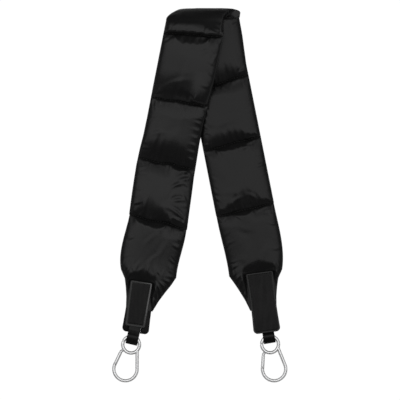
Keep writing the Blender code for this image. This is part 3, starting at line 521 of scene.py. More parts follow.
def eased(t, power):
    """From 0 at the start to 1 at the end, steepest at the start."""
    return 1.0 - np.clip(1.0 - t, 0.0, 1.0) ** power


def pinch(d):
    """The groove that the thread pulls into the cloth at a seam."""
    return eased(d / PINCH_REACH, 2)


def near_rise(d, reach, uneven, pools, v):
    """From 0 at the seam nearer the fold to 1: steep, then gentle, but a straight slope at a pool."""
    steep = eased(d / (np.minimum(STEEP_REACH, reach) * (1.0 + 0.45 * uneven)), 2)
    rise = mix(eased(d / reach, 1.5), steep, 0.34)
    if pools is None:
        return rise
    pool = read_reach(pools, v)[None, :] * (1.0 + 0.12 * uneven)
    straight = eased(d / np.maximum(pool, MM), 1.15)
    return mix(rise, mix(straight, pinch(d), 0.16), smooth(pool / POOL_START))


def far_rise(d, reach, uneven):
    """From 0 at the seam further from the fold to 1, over a longer slope."""
    return mix(eased(d / (reach * (1.0 + 0.16 * uneven)), 1.8), pinch(d), 0.14)


def seam_sway(leg, index, v):
    """How far the line of a seam sways towards the strap's end."""
    return SWAY * (1.0 - v ** 2) * waves(v, index * 5 + (1 if leg.top else 2), 5, 2.0, 11.0) / 2.0


def sway(leg, seams, d, length, v):
    """How far each point of a cell is drawn along the leg by the two seams' sway."""
    near, far = [0.0 if index is None else seam_sway(leg, index, v)[None, :] for index in seams]
    fades = [1.0 - smooth(distance / SWAY_REACH) for distance in (d, length - d)]
    return leg.heading * (near * fades[0] + far * fades[1])[:, :, None]


def cell_crown(cell, shown, u, v):
    """How high the cell's flat top swells, along it and across it."""
    if not cell.fold:
        return (1.0 if shown else 0.9) + 0.0 * (u + v)
    if not shown:
        return np.interp(u + 0.0 * v, *zip(*FOLD_INNER_CROWNS))
    roll = np.interp(u + 0.01 * v ** 2, *zip(*FOLD_CROWNS))
    return mix(roll, np.interp(u, *zip(*FOLD_RIGHT_CROWNS)), smooth((v + 0.25) / 0.95))


def cell_fullness(cell, side, v):
    """How full the cell is, between 0 at its seams and 1 on its flat top."""
    shown = side == cell.shown_side
    stops = cell.reaches
    if not shown and cell.fold:
        stops = FOLD_INNER_REACHES
    elif not shown:
        stops = (random_reach(cell.seed * 7 + 1, 12.0), random_reach(cell.seed * 7 + 2, 26.0))
    near, far = [read_reach(part, v)[None, :] for part in stops]
    near_teeth, far_teeth = [teeth(v, cell.seed * 3 + k)[None, :] for k in (1, 2)]
    u = (1.0 - cell.u if cell.flip else cell.u)[:, None]
    lead = INNER_LEAD if cell.seams[0] is None and side < 0 else 0.0
    rise = near_rise(u * cell.length + lead, near, near_teeth, cell.pools if shown else None, v)
    fall = far_rise((1.0 - u) * cell.length, far, far_teeth)
    crown = blurred(cell_crown(cell, shown, u, v[None, :]), 10)
    if cell.lift and shown:
        crown = crown * (1.0 + read_reach(cell.lift, v)[None, :] / MM * smooth((u - 0.5) / 0.38))
    return rise * fall * crown * (0.95 + 0.05 * (1.0 - (2.0 * u - 1.0) ** 2))


def cross_fullness(v):
    """How full the pad is across its width, rounded off towards its edges."""
    return (1.0 - np.abs(v) ** 3.2) ** 0.58


def ridge(x, y, x0, y0, angle, length, width):
    """A smooth, bent ridge of height 1 at (x0, y0) along the angle, with a shallow hollow beside it."""
    dx, dy = x - x0, y - y0
    along = dx * math.cos(angle) + dy * math.sin(angle)
    off = dy * math.cos(angle) - dx * math.sin(angle) + 0.18 * along ** 2 / length
    section = np.exp(-(off / width) ** 2) - 0.6 * np.exp(-((off - 1.7 * width) / width) ** 2)
    return np.exp(-(along / length) ** 2 * 2.2) * section


def folds(x, y, length, seed, side):
    """Gathers at the seams and at the edges, and a few longer wrinkles, in metres."""
    r = random.Random(seed * 2 + (1 if side > 0 else 0))
    height = np.zeros_like(x)
    half = HALF_WIDTH
    for end in (0.0, length):
        into = 1.0 if end == 0.0 else -1.0
        for _ in range(15):
            x0 = r.uniform(-0.95, 0.95) * half
            reach = r.uniform(4.0, 11.0) * MM
            lean = r.gauss(0.0, 0.22) + 0.25 * x0 / half * into
            height += r.uniform(0.12, 0.42) * MM * ridge(
                x, y, x0, end + into * reach * 0.55, math.pi / 2 + lean, reach, r.uniform(0.9, 1.9) * MM)
    for edge in (-1.0, 1.0):
        for _ in range(9):
            y0 = r.uniform(0.04, 0.96) * length
            reach = r.uniform(4.0, 10.0) * MM
            height += r.uniform(0.12, 0.38) * MM * ridge(
                x, y, edge * (half - reach * 0.7), y0, edge * r.uniform(-0.1, 0.75), reach,
                r.uniform(0.9, 1.8) * MM)
    for _ in range(4):
        x0, y0 = r.uniform(-0.6, 0.6) * half, r.uniform(0.2, 0.8) * length
        height += r.uniform(0.10, 0.25) * MM * ridge(
            x, y, x0, y0, r.uniform(0, math.pi), r.uniform(10, 22) * MM, r.uniform(2.0, 4.5) * MM)
    for _ in range(6):
        kx, ky = r.gauss(0, 1) * 90.0, r.gauss(0, 1) * 90.0
        height += 0.06 * MM * np.sin(kx * x + ky * y + r.uniform(0, 2 * math.pi))
    return height


# Wrinkles read off the photograph: middle in its pixels, direction in degrees, length and width in pixels,
# height in mm
WRINKLES = (
    (205, 110, -35, 7, 1.3, 0.55), (203, 117, -30, 7, 1.3, 0.55), (201.5, 124, -28, 8, 1.4, 0.6),
    (199, 131, -30, 8, 1.3, 0.6), (196.5, 138, -32, 7, 1.3, 0.55), (194.5, 145, -30, 7, 1.2, 0.5),
    (193, 152, -28, 7, 1.3, 0.5), (191, 159, -25, 7, 1.2, 0.5), (190, 190, -15, 6, 1.2, 0.35),
    (183, 180, 20, 12, 2.2, 1), (178, 184.5, 15, 10, 1.6, 0.8), (187, 172, -35, 8, 1.8, 0.8),
    (178, 200, 5, 9, 1.6, 0.8), (172, 196, 60, 6, 1.4, 0.5), (184, 197, -60, 6, 1.4, 0.5),
    (176, 212, -38, 12, 1.6, 0.8), (180, 221, -30, 10, 1.5, 0.7), (172, 222, -48, 8, 1.4, 0.5),
    (182, 232, -18, 8, 1.3, 0.4), (178, 247, -35, 6, 1.5, 0.45), (158, 132, 8, 10, 2, 0.35),
    (260, 164.5, 25, 5, 1.6, 0.5), (252, 141, 28, 7, 1.3, 0.5), (246, 147, 20, 7, 1.3, 0.4),
    (243, 71, 20, 6, 1.5, 0.5), (238, 80, 25, 8, 1.6, 0.5), (262, 208, 20, 8, 1.4, 0.5),
    (252, 196, -30, 8, 1.8, 0.4), (236, 200, 35, 9, 1.8, 0.4), (232, 211, 18, 7, 1.3, 0.4),
    (156, 291, -80, 15, 1.3, 1.5), (160, 290, -66, 12, 1.3, 1.5), (153, 304, -82, 16, 1.1, 1.3),
    (165, 287, -48, 9, 1.5, 1.2), (157, 305, -66, 11, 1.2, 1.2), (170, 283, -35, 7, 1.6, 0.7),
    (150.5, 312, -84, 9, 1, 0.8), (163, 296, -56, 9, 1.2, 1), (239, 287, 70, 12, 1.3, 1.3),
    (235, 281, 56, 9, 1.4, 1.1), (243, 300, 74, 13, 1.2, 1.1), (242, 279, 82, 8, 1.3, 0.9),
    (238.5, 296, 62, 8, 1.1, 0.8), (230, 270, 40, 7, 1.6, 0.5), (274.5, 279, -62, 6, 1.4, 0.7),
    (276, 272, -45, 6, 1.5, 0.6), (126, 272, 60, 6, 1.5, 0.6), (205, 52, 25, 8, 2, 0.4),
    (214, 60, 60, 7, 1.6, 0.4), (172, 40, 25, 8, 1.6, 0.4),
)

# Swells read off the photograph: middle in its pixels, reach along and across in pixels, tilt in degrees,
# height in mm
SWELLS = ((206, 36.5, 10, 2.2, -8, 0.9), (212, 32, 6, 2.2, 25, 0.8))

# The photograph's pixel at the frame's origin
PHOTO_MIDDLE = (199.8, 195.4)


def photo_place(x, y):
    """Where a pixel of the photograph lies in the frame."""
    return (x - PHOTO_MIDDLE[0]) * PIXEL, (PHOTO_MIDDLE[1] - y) * PIXEL


def plan(points):
    """The points' places in the frame, seen from above."""
    return points[:, :, 0] + ORIGIN[0], points[:, :, 1] + ORIGIN[1]


def photo_wrinkles(x, y):
    """The height of the wrinkles and swells read off the photograph."""
    height = np.zeros_like(x)
    for px, py, angle, length, width, high in WRINKLES:
        x0, y0 = photo_place(px, py)
        height += high * MM * ridge(x, y, x0, y0, math.radians(angle), length * PIXEL, width * PIXEL)
    for px, py, wide, deep, tilt, high in SWELLS:
        x0, y0 = photo_place(px, py)
        turn = math.radians(tilt)
        along = ((x - x0) * math.cos(turn) - (y - y0) * math.sin(turn)) / (wide * PIXEL)
        off = ((x - x0) * math.sin(turn) + (y - y0) * math.cos(turn)) / (deep * PIXEL)
        height += high * MM * np.exp(-along ** 2 - off ** 2)
    return height


def column_shares():
    """The columns' places across, from -1 to 1, closer together towards the edges."""
    t = np.linspace(-1.0, 1.0, COLUMNS + 1)
    return np.sin(t * math.pi / 2) * 0.35 + t * 0.65


def seam_shares(length, spacing=1.25 * MM):
    """The rows' places along a cell, from 0 to 1, closer together towards its seams."""
    t = np.linspace(0.0, 1.0, int(length / spacing) + 1)
    return 0.72 * t + 0.28 * (0.5 - 0.5 * np.cos(math.pi * t))


def spread(rows, v):
    """Each point's distance from the middle line, and its place on the strap's middle surface."""
    centre, across, _, halves = rows
    x = v[None, :] * np.where(v[None, :] > 0, halves[:, 1:2], halves[:, 0:1])
    return x, centre[:, None, :] + across[:, None, :] * x[:, :, None]


def edged(height, share):
    """The height above the middle surface, brought down to the edge's thickness by the share."""
    return EDGE_RISE + (np.maximum(height, EDGE_RISE) - EDGE_RISE) * share


def edge_window(v):
    """1 over the pad and 0 at its very edges, where no wrinkle is added."""
    return np.clip(1.0 - np.abs(v) ** 10, 0.0, 1.0)[None, :]


def cell_surface(cell, side):
    """The points of one side of a cell."""
    v = column_shares()
    u = cell.u[:, None]
    x, middle = spread(cell.rows, v)
    shown = side == cell.shown_side
    fullness = SHOWN_FULLNESS if shown else HIDDEN_FULLNESS
    share = cross_fullness(v)[None, :]
    if cell.fold:
        share = mix(share, (1.0 - np.abs(v)[None, :] ** 6) ** 0.5, smooth(u / 0.15))
    outer = edged(mix(SEAM_BASE, fullness * CROWN, cell_fullness(cell, side, v)), share)
    window = edge_window(v) * smooth(np.minimum(u, 1.0 - u) * cell.length / WINDOW_FADE)
    outer = outer + window * folds(x, u * cell.length, cell.length, cell.seed, side)
    if shown:
        outer = outer + window * photo_wrinkles(*plan(middle))
    normal = cell.rows[2]
    points = middle + normal[:, None, :] * (side * outer)[:, :, None]
    floor = np.where(side * normal[:, 2] < 0.0, 0.0, -1.0)[:, None]
    points[:, :, 2] = np.maximum(points[:, :, 2], floor)
    travelled = (1.0 - u if cell.flip else u) * cell.length
    points = points + sway(cell.leg, cell.seams, travelled, cell.length, v)
    if cell.fold:
        laid = 0.90 * smooth((x / HALF_WIDTH - 0.84) / 0.14) * smooth((1.0 - u) / 0.3)
        points[:, :, 2] -= laid * np.maximum(points[:, :, 2] - LAID_LEVEL, 0.0)
    return points


def leather_press(leg, overlay, middle):
    """How far the leather presses the pad flat, from 0 to 1, ahead of its edge and beside it."""
    to_tab = np.array(tab_frame(leg).inverted())
    x, y = plan(middle)
    tab_x, tab_y = [x * row[0] + y * row[1] + row[3] for row in to_tab[:2]]
    reach, middle_x, first = (13.0 * MM, LOOP_SHIFT, OVERLAY_START) if overlay else (16.2 * MM, 0.0, 0.0)
    off = np.abs(tab_x - middle_x)
    fall = 17.0 * MM - 7.0 * MM * off / reach
    near = smooth((reach + 5.0 * MM - off) / (5.0 * MM))
    return near * np.clip((tab_y - first + fall) / (fall + 1.0 * MM), 0.0, 1.0) ** 1.7


def end_surface(leg, side):
    """The last cell and the tongue in one: padded beside the leather and pressed flat under it."""
    u, s = seam_shares(leg.end_length), np.linspace(0.0, 1.0, 40)[1:]
    rows = joined(leg.end_rows(u), leg.tongue_rows(s))
    v = column_shares()
    x, middle = spread(rows, v)
    y = np.concatenate([u * leg.end_length, leg.end_length + s * TONGUE_LENGTH])[:, None]
    shown = side == -leg.side
    fullness = SHOWN_FULLNESS if shown else HIDDEN_FULLNESS
    near = read_reach(leg.reaches[3][0] if shown else random_reach(71, 12.0), v)[None, :]
    rise = near_rise(y, near, teeth(v, 81)[None, :], leg.pools[3] if shown else None, v)
    wing = 1.0 - np.clip((y - leg.end_length + 8.0 * MM) / (52.0 * MM), 0.0, 1.0) ** 2.6
    pressed = leather_press(leg, side > 0, middle)
    base = mix(SEAM_BASE, TONGUE_RISE, np.clip(y / leg.end_length, 0.0, 1.0))
    outer = edged(mix(base, CROWN * fullness, rise * wing * (1.0 - pressed)), cross_fullness(v)[None, :])
    window = edge_window(v) * smooth(y / WINDOW_FADE) * (1.0 - pressed)
    outer = outer + window * folds(x, y, leg.end_length, 11 if leg.top else 19, side) * wing
    if shown:
        outer = outer + window * photo_wrinkles(*plan(middle))
    normal = rows[2]
    points = middle + normal[:, None, :] * (side * outer)[:, :, None] + sway(leg, (3, None), y, 1.0, v)
    if side * normal[0, 2] < 0.0:
        points[:, :, 2] = np.maximum(points[:, :, 2], 0.0)
    return points if leg.top else points[::-1]


def pad_piece(name, cells, cloth):
    """A closed padded length from its cells; a leg stands for its end, with the tongue."""
    grids = []
    for side in (1.0, -1.0):
        parts = []
        for cell in cells:
            points = end_surface(cell, side) if isinstance(cell, Leg) else cell_surface(cell, side)
            parts.append(points[1:] if parts else points)
        grids.append(np.concatenate(parts) + ORIGIN)
    face, back = grids
    seam_rows = {int(row) for row in np.cumsum([len(part) for part in parts])[:-1] - 1}
    rows, columns = face.shape[:2]
    loop_points = np.concatenate([face, back[:, ::-1][:, 1:-1]], axis=1)
    width = loop_points.shape[1]
    bm = bmesh.new()
    uv = bm.loops.layers.uv.new("UVMap")
    verts = [bm.verts.new(p) for p in loop_points.reshape(-1, 3)]
    steps = np.linalg.norm(np.diff(face[:, columns // 2], axis=0), axis=1)
    lengths = np.concatenate([[0.0], np.cumsum(steps)])
    girth = np.linspace(0.0, 4 * HALF_WIDTH, width + 1)
    for i in range(rows - 1):
        for j in range(width):
            k = (j + 1) % width
            corners = [verts[at * width + column] for at, column in ((i, j), (i, k), (i + 1, k), (i + 1, j))]
            f = bm.faces.new(corners)
            f.smooth = True
            if i in seam_rows:
                bm.edges.get(corners[:2]).smooth = False
            for loop, (row, column) in zip(f.loops, ((i, j), (i, j + 1), (i + 1, j + 1), (i + 1, j))):
                loop[uv].uv = (girth[column], lengths[row])
    bm.faces.new(verts[:width])
    bm.faces.new(verts[(rows - 1) * width:])
    bmesh.ops.recalc_face_normals(bm, faces=bm.faces)
    return add_piece(name, bm, cloth)


def add_piece(name, bm, *materials, smooth_faces=False):
    """Puts a form into the scene as a piece."""
    mesh = bpy.data.meshes.new(name)
    bm.to_mesh(mesh)
    bm.free()
    if smooth_faces:
        mesh.shade_smooth()
    for material in materials:
        mesh.materials.append(material)
    thing = bpy.data.objects.new(name, mesh)
    bpy.context.scene.collection.objects.link(thing)
    return thing


# How far the slopes reach from the seams on the side the photograph shows, as (place across, mm)
TOP_REACHES = (
    (((-1, 14), (-0.5, 13), (-0.3, 15), (0.1, 15), (0.45, 14), (0.6, 13), (1, 14)),
     ((-1, 6), (-0.8, 8), (-0.6, 15), (-0.25, 19), (0.1, 17), (0.4, 12), (0.55, 6), (1, 5))),
    (((-1, 16), (0, 20), (1, 15)),
     ((-1, 14), (-0.85, 28), (-0.5, 31), (0.2, 31), (0.5, 28), (0.75, 14), (1, 8))),
    (((-1, 15), (0, 19), (0.5, 16), (0.72, 13), (0.95, 12), (1, 10)),
     ((-1, 10), (-0.8, 20), (-0.5, 27), (-0.1, 26), (0.15, 18), (0.3, 10), (1, 8))),
    (((-1, 15), (0, 18), (1, 15)),
     ((-1, 6), (-0.7, 10), (-0.4, 15), (0.3, 14), (0.7, 9), (1, 6))),
)
# How much fuller a cell of the top leg gets towards its further seam, across the strap
TOP_LIFTS = (((-1, 0.25), (-0.9, 0.0), (0.3, 0.0), (0.5, 0.55), (1, 0.6)), None, None)
LOW_REACHES = (
    (((-1, 2), (1, 2)),
     ((-1, 10), (-0.4, 22), (0.1, 26), (0.5, 22), (0.75, 12), (1, 8))),
    (((-1, 13), (-0.4, 13), (0.0, 15), (0.4, 18), (1, 15)),
     ((-1, 14), (-0.6, 18), (0.1, 19), (0.4, 16), (0.55, 8), (1, 5))),
    (((-1, 15), (0, 17), (1, 15)),
     ((-1, 6), (-0.6, 9), (-0.3, 20), (0.05, 31), (0.35, 22), (0.62, 10), (1, 6))),
    (((-1, 15), (0, 18), (1, 15)),
     ((-1, 6), (-0.5, 9), (-0.1, 17), (0.1, 17), (0.5, 10), (1, 6))),
)
# Where the slope below a seam is straight and steep, and how far it reaches, as (place across, mm)
TOP_POOLS = (
    ((-1, 0), (-0.68, 0), (-0.5, 9), (-0.2, 11), (0.2, 12), (0.45, 9), (0.62, 0), (1, 0)), None,
    ((-1, 0), (0.1, 0), (0.25, 5), (0.6, 6), (0.8, 0), (1, 0)),
    ((-1, 0), (-0.85, 0), (-0.7, 7), (-0.2, 9), (0.12, 9), (0.35, 0), (1, 0)),
)
LOW_POOLS = (
    None, None, ((-1, 0), (-0.65, 0), (-0.5, 6), (0.1, 8), (0.45, 6), (0.65, 0), (1, 0)),
    ((-1, 0), (-0.5, 0), (-0.35, 5), (0.1, 7), (0.3, 0), (1, 0)),
)
FOLD_REACHES = (((-1, 12), (1, 12)), ((-1, 4), (-0.5, 4), (0.2, 3.5), (0.6, 3), (1, 3)))
FOLD_INNER_REACHES = (((-1, 2), (1, 2)), ((-1, 8), (1, 8)))
FOLD_INNER_CROWNS = ((0.0, 1.155), (0.06, 1.16), (0.15, 1.25), (0.4, 1.35), (0.67, 1.1), (1.0, 0.9))
# The fold's swell along its turn: pinched flat from its outer edge up to a full roll before the first seam
FOLD_ROOT = ((0.0, 0.65), (0.34, 0.80), (0.42, 0.72), (0.47, 0.48))
FOLD_CROWNS = FOLD_ROOT + (
    (0.52, 0.34), (0.57, 0.33), (0.62, 0.45), (0.67, 0.76), (0.716, 1.04), (0.764, 1.28), (0.82, 1.34),
    (1.0, 1.30),
)
# The same at the strap's right edge, where the roll swells later
FOLD_RIGHT_CROWNS = FOLD_ROOT + (
    (0.52, 0.30), (0.57, 0.16), (0.60, 0.12), (0.64, 0.22), (0.70, 0.48), (0.76, 0.76), (0.82, 1.02),
    (0.88, 1.27), (0.92, 1.34), (1.0, 1.30),
)

TOP.reaches, TOP.lifts, TOP.pools = TOP_REACHES, TOP_LIFTS, TOP_POOLS
LOW.reaches, LOW.lifts, LOW.pools = LOW_REACHES, (None, None, None), LOW_POOLS


def leg_cell(leg, index, seed):
    """The cell between two seams of a leg. The low leg's rows run towards the fold."""
    length = leg.seams[index + 1] - leg.seams[index]
    u = seam_shares(length)
    rows = leg.rows(leg.seams[index] + u * length)
    near = index if leg.top else index or None
    return Cell(rows if leg.top else [part[::-1] for part in rows], u, length, seed, leg, (near, index + 1),
                leg.reaches[index], flip=not leg.top, lift=leg.lifts[index], pools=leg.pools[index])


def fold_cell(seed):
    """The cell round the fold, with what lies before either leg's first seam."""
    arc = math.pi * FOLD_RADIUS
    length = LOW.seams[0] + arc + TOP.seams[0]
    u = seam_shares(length, 1.0 * MM)
    place = u * length
    on_low = place < LOW.seams[0]
    on_top = place > LOW.seams[0] + arc
    turning = ~(on_low | on_top)
    rows = joined(LOW.rows(LOW.seams[0] - place[on_low]),
                  fold_turn(math.pi * (place[turning] - LOW.seams[0]) / arc),
                  TOP.rows(place[on_top] - LOW.seams[0] - arc))
    return Cell(rows, u, length, seed, TOP, (None, 0), FOLD_REACHES, fold=True)


def seam_point(leg, index):
    """The middle of a seam, in the frame."""
    return Vector(leg.rows(leg.seams[index])[0][0] + ORIGIN)


def across_seam(leg, index, reach):
    """Two points a little before and after a seam, outwards from the fold."""
    middle, way = seam_point(leg, index), Vector(leg.heading)
    return middle - way * reach, middle + way * reach


low_end_pad = pad_piece("low_end_pad", [LOW, leg_cell(LOW, 2, 12)], BACK_NYLON)
low_leg_pad = pad_piece("low_leg_pad", [leg_cell(LOW, 1, 13), leg_cell(LOW, 0, 14)], BACK_NYLON)
fold_pad = pad_piece("fold_pad", [fold_cell(15), leg_cell(TOP, 0, 16)], FACE_NYLON)
top_end_pad = pad_piece("top_end_pad", [leg_cell(TOP, 1, 17), leg_cell(TOP, 2, 18), TOP], FACE_NYLON)
BEND = 6.0 * MM
across_seam(LOW, 3, BEND)
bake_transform(low_end_pad)
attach(low_leg_pad, "low_leg")
across_seam(TOP, 0, BEND)
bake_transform(fold_pad)
across_seam(TOP, 3, BEND)
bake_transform(top_end_pad)
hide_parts("low_end_face_fabric", "low_end_back_fabric", "low_end_webbing_tape",
            "low_end_wadding", "low_leg_wadding_3")
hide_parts("low_leg_face_fabric", "low_leg_back_fabric", "low_leg_webbing_tape",
            "low_leg_wadding_1", "low_leg_wadding_2")
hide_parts("fold_wadding", "top_leg_wadding_1")
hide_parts("top_leg_face_fabric", "top_leg_back_fabric", "top_leg_webbing_tape",
            "top_leg_wadding_2", "top_leg_wadding_3", "top_end_face_fabric", "top_end_back_fabric",
            "top_end_webbing_tape", "top_end_wadding")


# Leather plates

TURN_STEPS = 6
# A corner with a wider half angle than this isn't rounded
STRAIGHT = math.radians(87.0)
# The least radius of a corner that is inset
LEAST_CORNER = 0.25 * MM
MOUTH_HALF, MOUTH_CORNER = 7.05 * MM, 0.4 * MM
STITCH_PITCH, STITCH_LENGTH, STITCH_WIDTH = 3.2 * MM, 2.5 * MM, 0.28 * MM
SEAM_PITCH, SEAM_STITCH_LENGTH, SEAM_STITCH_WIDTH = 3.0 * MM, 2.2 * MM, 0.22 * MM
# A stitch's section along it, as (place, thickness)
STITCH_STOPS = ((-0.5, 0.35), (-0.32, 0.9), (0.0, 1.0), (0.32, 0.9), (0.5, 0.35))


def neck_frame(leg):
    """Where the loop leaves the leathers, Y towards the hook."""
    heading = Vector(heading_at(leg.hook_tilt))
    neck = tab_frame(leg) @ Vector((LOOP_SHIFT, TAB_LENGTH - leg.setback, 0.0))
    return frame_from(neck, Vector((heading.y, -heading.x, 0.0)), heading)


def eye_distance(leg):
    """How far the middle of the hook's eye lies from the neck."""
    return leg.setback + leg.eye_reach


def hook_frame(leg):
    """In the middle of the hook's eye, Y to the basket, resting on the loop and on the table."""
    neck = neck_frame(leg)
    level = LOOP_LEVEL - EYE * math.sin(HOOK_SLOPE) - (neck.translation.z - ORIGIN[2])
    return neck @ Matrix.Translation((0.0, eye_distance(leg), level)) @ Matrix.Rotation(-HOOK_SLOPE, 4, "X")


def winding(points):
    """1 for an outline that runs to the left, -1 for one that runs to the right."""
    area = sum(a.x * b.y - b.x * a.y for a, b in zip(points, points[1:] + points[:1]))
    return 1.0 if area > 0 else -1.0


def inset(corners, depth):
    """The outline's corners moved inwards."""
    points = [Vector(corner[:2]) for corner in corners]
    turn = winding(points)
    result = []
    for index, here in enumerate(points):
        before, after = points[index - 1], points[(index + 1) % len(points)]
        d1, d2 = (here - before).normalized(), (after - here).normalized()
        n1, n2 = Vector((-d1.y, d1.x)) * turn, Vector((-d2.y, d2.x)) * turn
        bisector = n1 + n2
        spot = here + bisector * (depth / max(bisector.dot(n1), 1e-6))
        result.append((spot.x, spot.y, corners[index][2]))
    return result


def rounded(corners, depth):
    """The outline inset by a depth, with its corners rounded."""
    moved = inset(corners, depth)
    points = [Vector(corner[:2]) for corner in moved]
    turn = winding(points)
    outline = []
    for index, (here, corner) in enumerate(zip(points, moved)):
        before = (points[index - 1] - here).normalized()
        after = (points[(index + 1) % len(moved)] - here).normalized()
        half = before.angle(after) / 2
        if half > STRAIGHT:
            outline.append(here)
            continue
        convex = before.y * after.x - before.x * after.y
        radius = max(corner[2] + (-depth if convex * turn > 0 else depth), LEAST_CORNER)
        reach = radius / math.tan(half)
        centre = here + (before + after).normalized() * (radius / math.sin(half))
        first, last = here + before * reach - centre, here + after * reach - centre
        for step in range(TURN_STEPS + 1):
            outline.append(centre + first.lerp(last, step / TURN_STEPS).normalized() * radius)
    return outline


def ring(bm, centre, one, other, sides):
    """New points round an ellipse with these two half axes."""
    return [bm.verts.new(centre + one * math.cos(a) + other * math.sin(a))
            for a in (2 * math.pi * k / sides for k in range(sides))]


def bridge(bm, rings, slots=None):
    """Skins rings of points into one closed form, with a material slot for each stretch between two rings."""
    for index, (first, second) in enumerate(zip(rings, rings[1:])):
        for j in range(len(first)):
            k = (j + 1) % len(first)
            face = bm.faces.new((first[j], first[k], second[k], second[j]))
            face.material_index = slots[index] if slots else 0
    bm.faces.new(rings[0][::-1])
    bm.faces.new(rings[-1])


def solid_piece(name, bm, sharp, place, *materials):
    """A piece from a closed form, with edges sharper than so many degrees shown sharp."""
    bmesh.ops.recalc_face_normals(bm, faces=bm.faces)
    bmesh.ops.transform(bm, matrix=place, verts=bm.verts)
    made = add_piece(name, bm, *materials, smooth_faces=True)
    made.data.set_sharp_from_angle(angle=math.radians(sharp))
    return made


def plate(name, corners, profile, place, *materials):
    """A plate with the section (inset, height, material) from its lower edge inwards, round its outline."""
    bm = bmesh.new()
    rings = [[bm.verts.new((p.x, p.y, height)) for p in rounded(corners, depth)]
             for depth, height, _ in profile]
    bridge(bm, rings, [slot for _, _, slot in profile])
    return solid_piece(name, bm, 50.0, place, *materials)


def leather_profile(low, high, rim, groove, wide=1.0):
    """The section of a plate with a turned edge: a burnished rim, a stitched groove and a flat field."""
    rise = high - low
    stops = [
        (0.40, low), (0.08, low + 0.12 * rise), (0.0, (low + high) / 2), (0.12, low + 0.80 * rise),
        (0.34, high + 0.6 * rim), (0.70, high + rim), (1.90, high + 0.95 * rim), (2.25, high + 0.4 * rim),
        (2.5, high - 0.6 * groove), (2.7, high - groove), (3.2, high - groove), (3.8, high),
        (4.6, high + 0.1 * rim),
    ]
    return [(depth * wide * MM, level, 1 if index < 8 else 0) for index, (depth, level) in enumerate(stops)]


def mouth_corners(leg):
    """The mouth in the leather's end, in line with the loop that swings in it."""
    to_tab = tab_frame(leg).inverted() @ neck_frame(leg)
    corners = []
    for x in (-MOUTH_HALF, MOUTH_HALF):
        deep, out = [(to_tab @ Vector((x, y, 0.0))).to_2d() for y in (-LOOP_OUTSIDE - CLEARANCE, leg.setback)]
        end = deep + (out - deep) * ((TAB_LENGTH - deep.y) / (out.y - deep.y))
        corners += [(end.x, end.y, MOUTH_CORNER), (deep.x, deep.y, MOUTH_CORNER)]
    return corners[:2] + corners[:1:-1]


def tab_corners(leg):
    """The back leather's outline, with a slight waist and, in the top end, a mouth."""
    half = TAB_WIDTH / 2
    waist = [(half * (1.0 - WAIST_SHARE * math.sin(math.pi * share)), share * TAB_LENGTH)
             for share in WAIST_STOPS]
    corners = [(-half, 0.0, TAB_TOP_CORNER)] + [(-x, y, 0.0) for x, y in waist]
    corners += [(-half, TAB_LENGTH, TAB_CORNER)] + (mouth_corners(leg) if leg.top else [])
    corners += [(half, TAB_LENGTH, TAB_CORNER)]
    return corners + [(x, y, 0.0) for x, y in reversed(waist)] + [(half, 0.0, TAB_TOP_CORNER)]


def overlay_corners():
    """The overlay's outline, a little narrower towards the hook."""
    top, end = OVERLAY_HALVES
    places = ((-top, OVERLAY_START), (-end, OVERLAY_END), (end, OVERLAY_END), (top, OVERLAY_START))
    return [(LOOP_SHIFT + x, y, OVERLAY_CORNER) for x, y in places]


def stitch_bm(bm, point, way, up, length=STITCH_LENGTH, width=STITCH_WIDTH):
    """One thread stitch: a small bent spindle lying along its way."""
    way, up = way.normalized(), up.normalized()
    across = up.cross(way)
    rings = []
    for t, size in STITCH_STOPS:
        lift = (2.0 * (0.25 - t * t) - 0.45) * width
        thick = width * size
        rings.append(ring(bm, point + way * (t * length) + up * lift, across * thick, up * thick, 6))
    bridge(bm, rings)


def outline_stitches(bm, corners, depth, height, up, place, skip=None):
    """Stitches all round an outline, at a depth inside it."""
    line = rounded(corners, depth)
    closed = line + line[:1]
    lengths = [0.0]
    for a, b in zip(closed, closed[1:]):
        lengths.append(lengths[-1] + (b - a).length)
    count = int(lengths[-1] / STITCH_PITCH)
    turn = place.to_3x3()
    for index in range(count):
        d = (index + 0.5) * lengths[-1] / count
        k = next(i for i in range(len(closed) - 1) if lengths[i + 1] >= d)
        t = (d - lengths[k]) / max(lengths[k + 1] - lengths[k], 1e-9)
        spot, way = closed[k].lerp(closed[k + 1], t), closed[k + 1] - closed[k]
        if way.length < 1e-7 or (skip is not None and skip(spot)):
            continue
        point = place @ Vector((spot.x, spot.y, height))
        stitch_bm(bm, point, turn @ Vector((way.x, way.y, 0.0)), turn @ Vector((0.0, 0.0, up)))


def flip(profile):
    """The same section built downwards, for a plate on the strap's back side."""
    return [(depth, -height, index) for depth, height, index in profile]


def in_mouth(spot):
    """Whether a stitch would hang in the mouth or in the narrow leather round it."""
    return spot.y > TAB_LENGTH - MOUTH_DEPTH - 4.5 * MM and abs(spot.x - LOOP_SHIFT) < 10.5 * MM


BACK_TOP, OVERLAY_TOP = LEATHER_LEVEL + BACK_LEATHER, LEATHER_LEVEL + OVERLAY_LEATHER
# How high a burnished rim stands, how deep the stitched groove is, and how far stitches sink in beside no rim
TOP_RIM, LOW_RIM = 0.30 * MM, 0.10 * MM
BACK_GROOVE, OVERLAY_GROOVE, SUNK = 0.18 * MM, 0.20 * MM, 0.18 * MM
BACK_EDGE_SCALE = 0.8
# How high the stitches lie, and how far inside the edges
BACK_STITCH, OVERLAY_STITCH = BACK_TOP - 0.16 * MM, OVERLAY_TOP - 0.18 * MM
BACK_INSIDE, OVERLAY_INSIDE = 2.35 * MM, 2.9 * MM

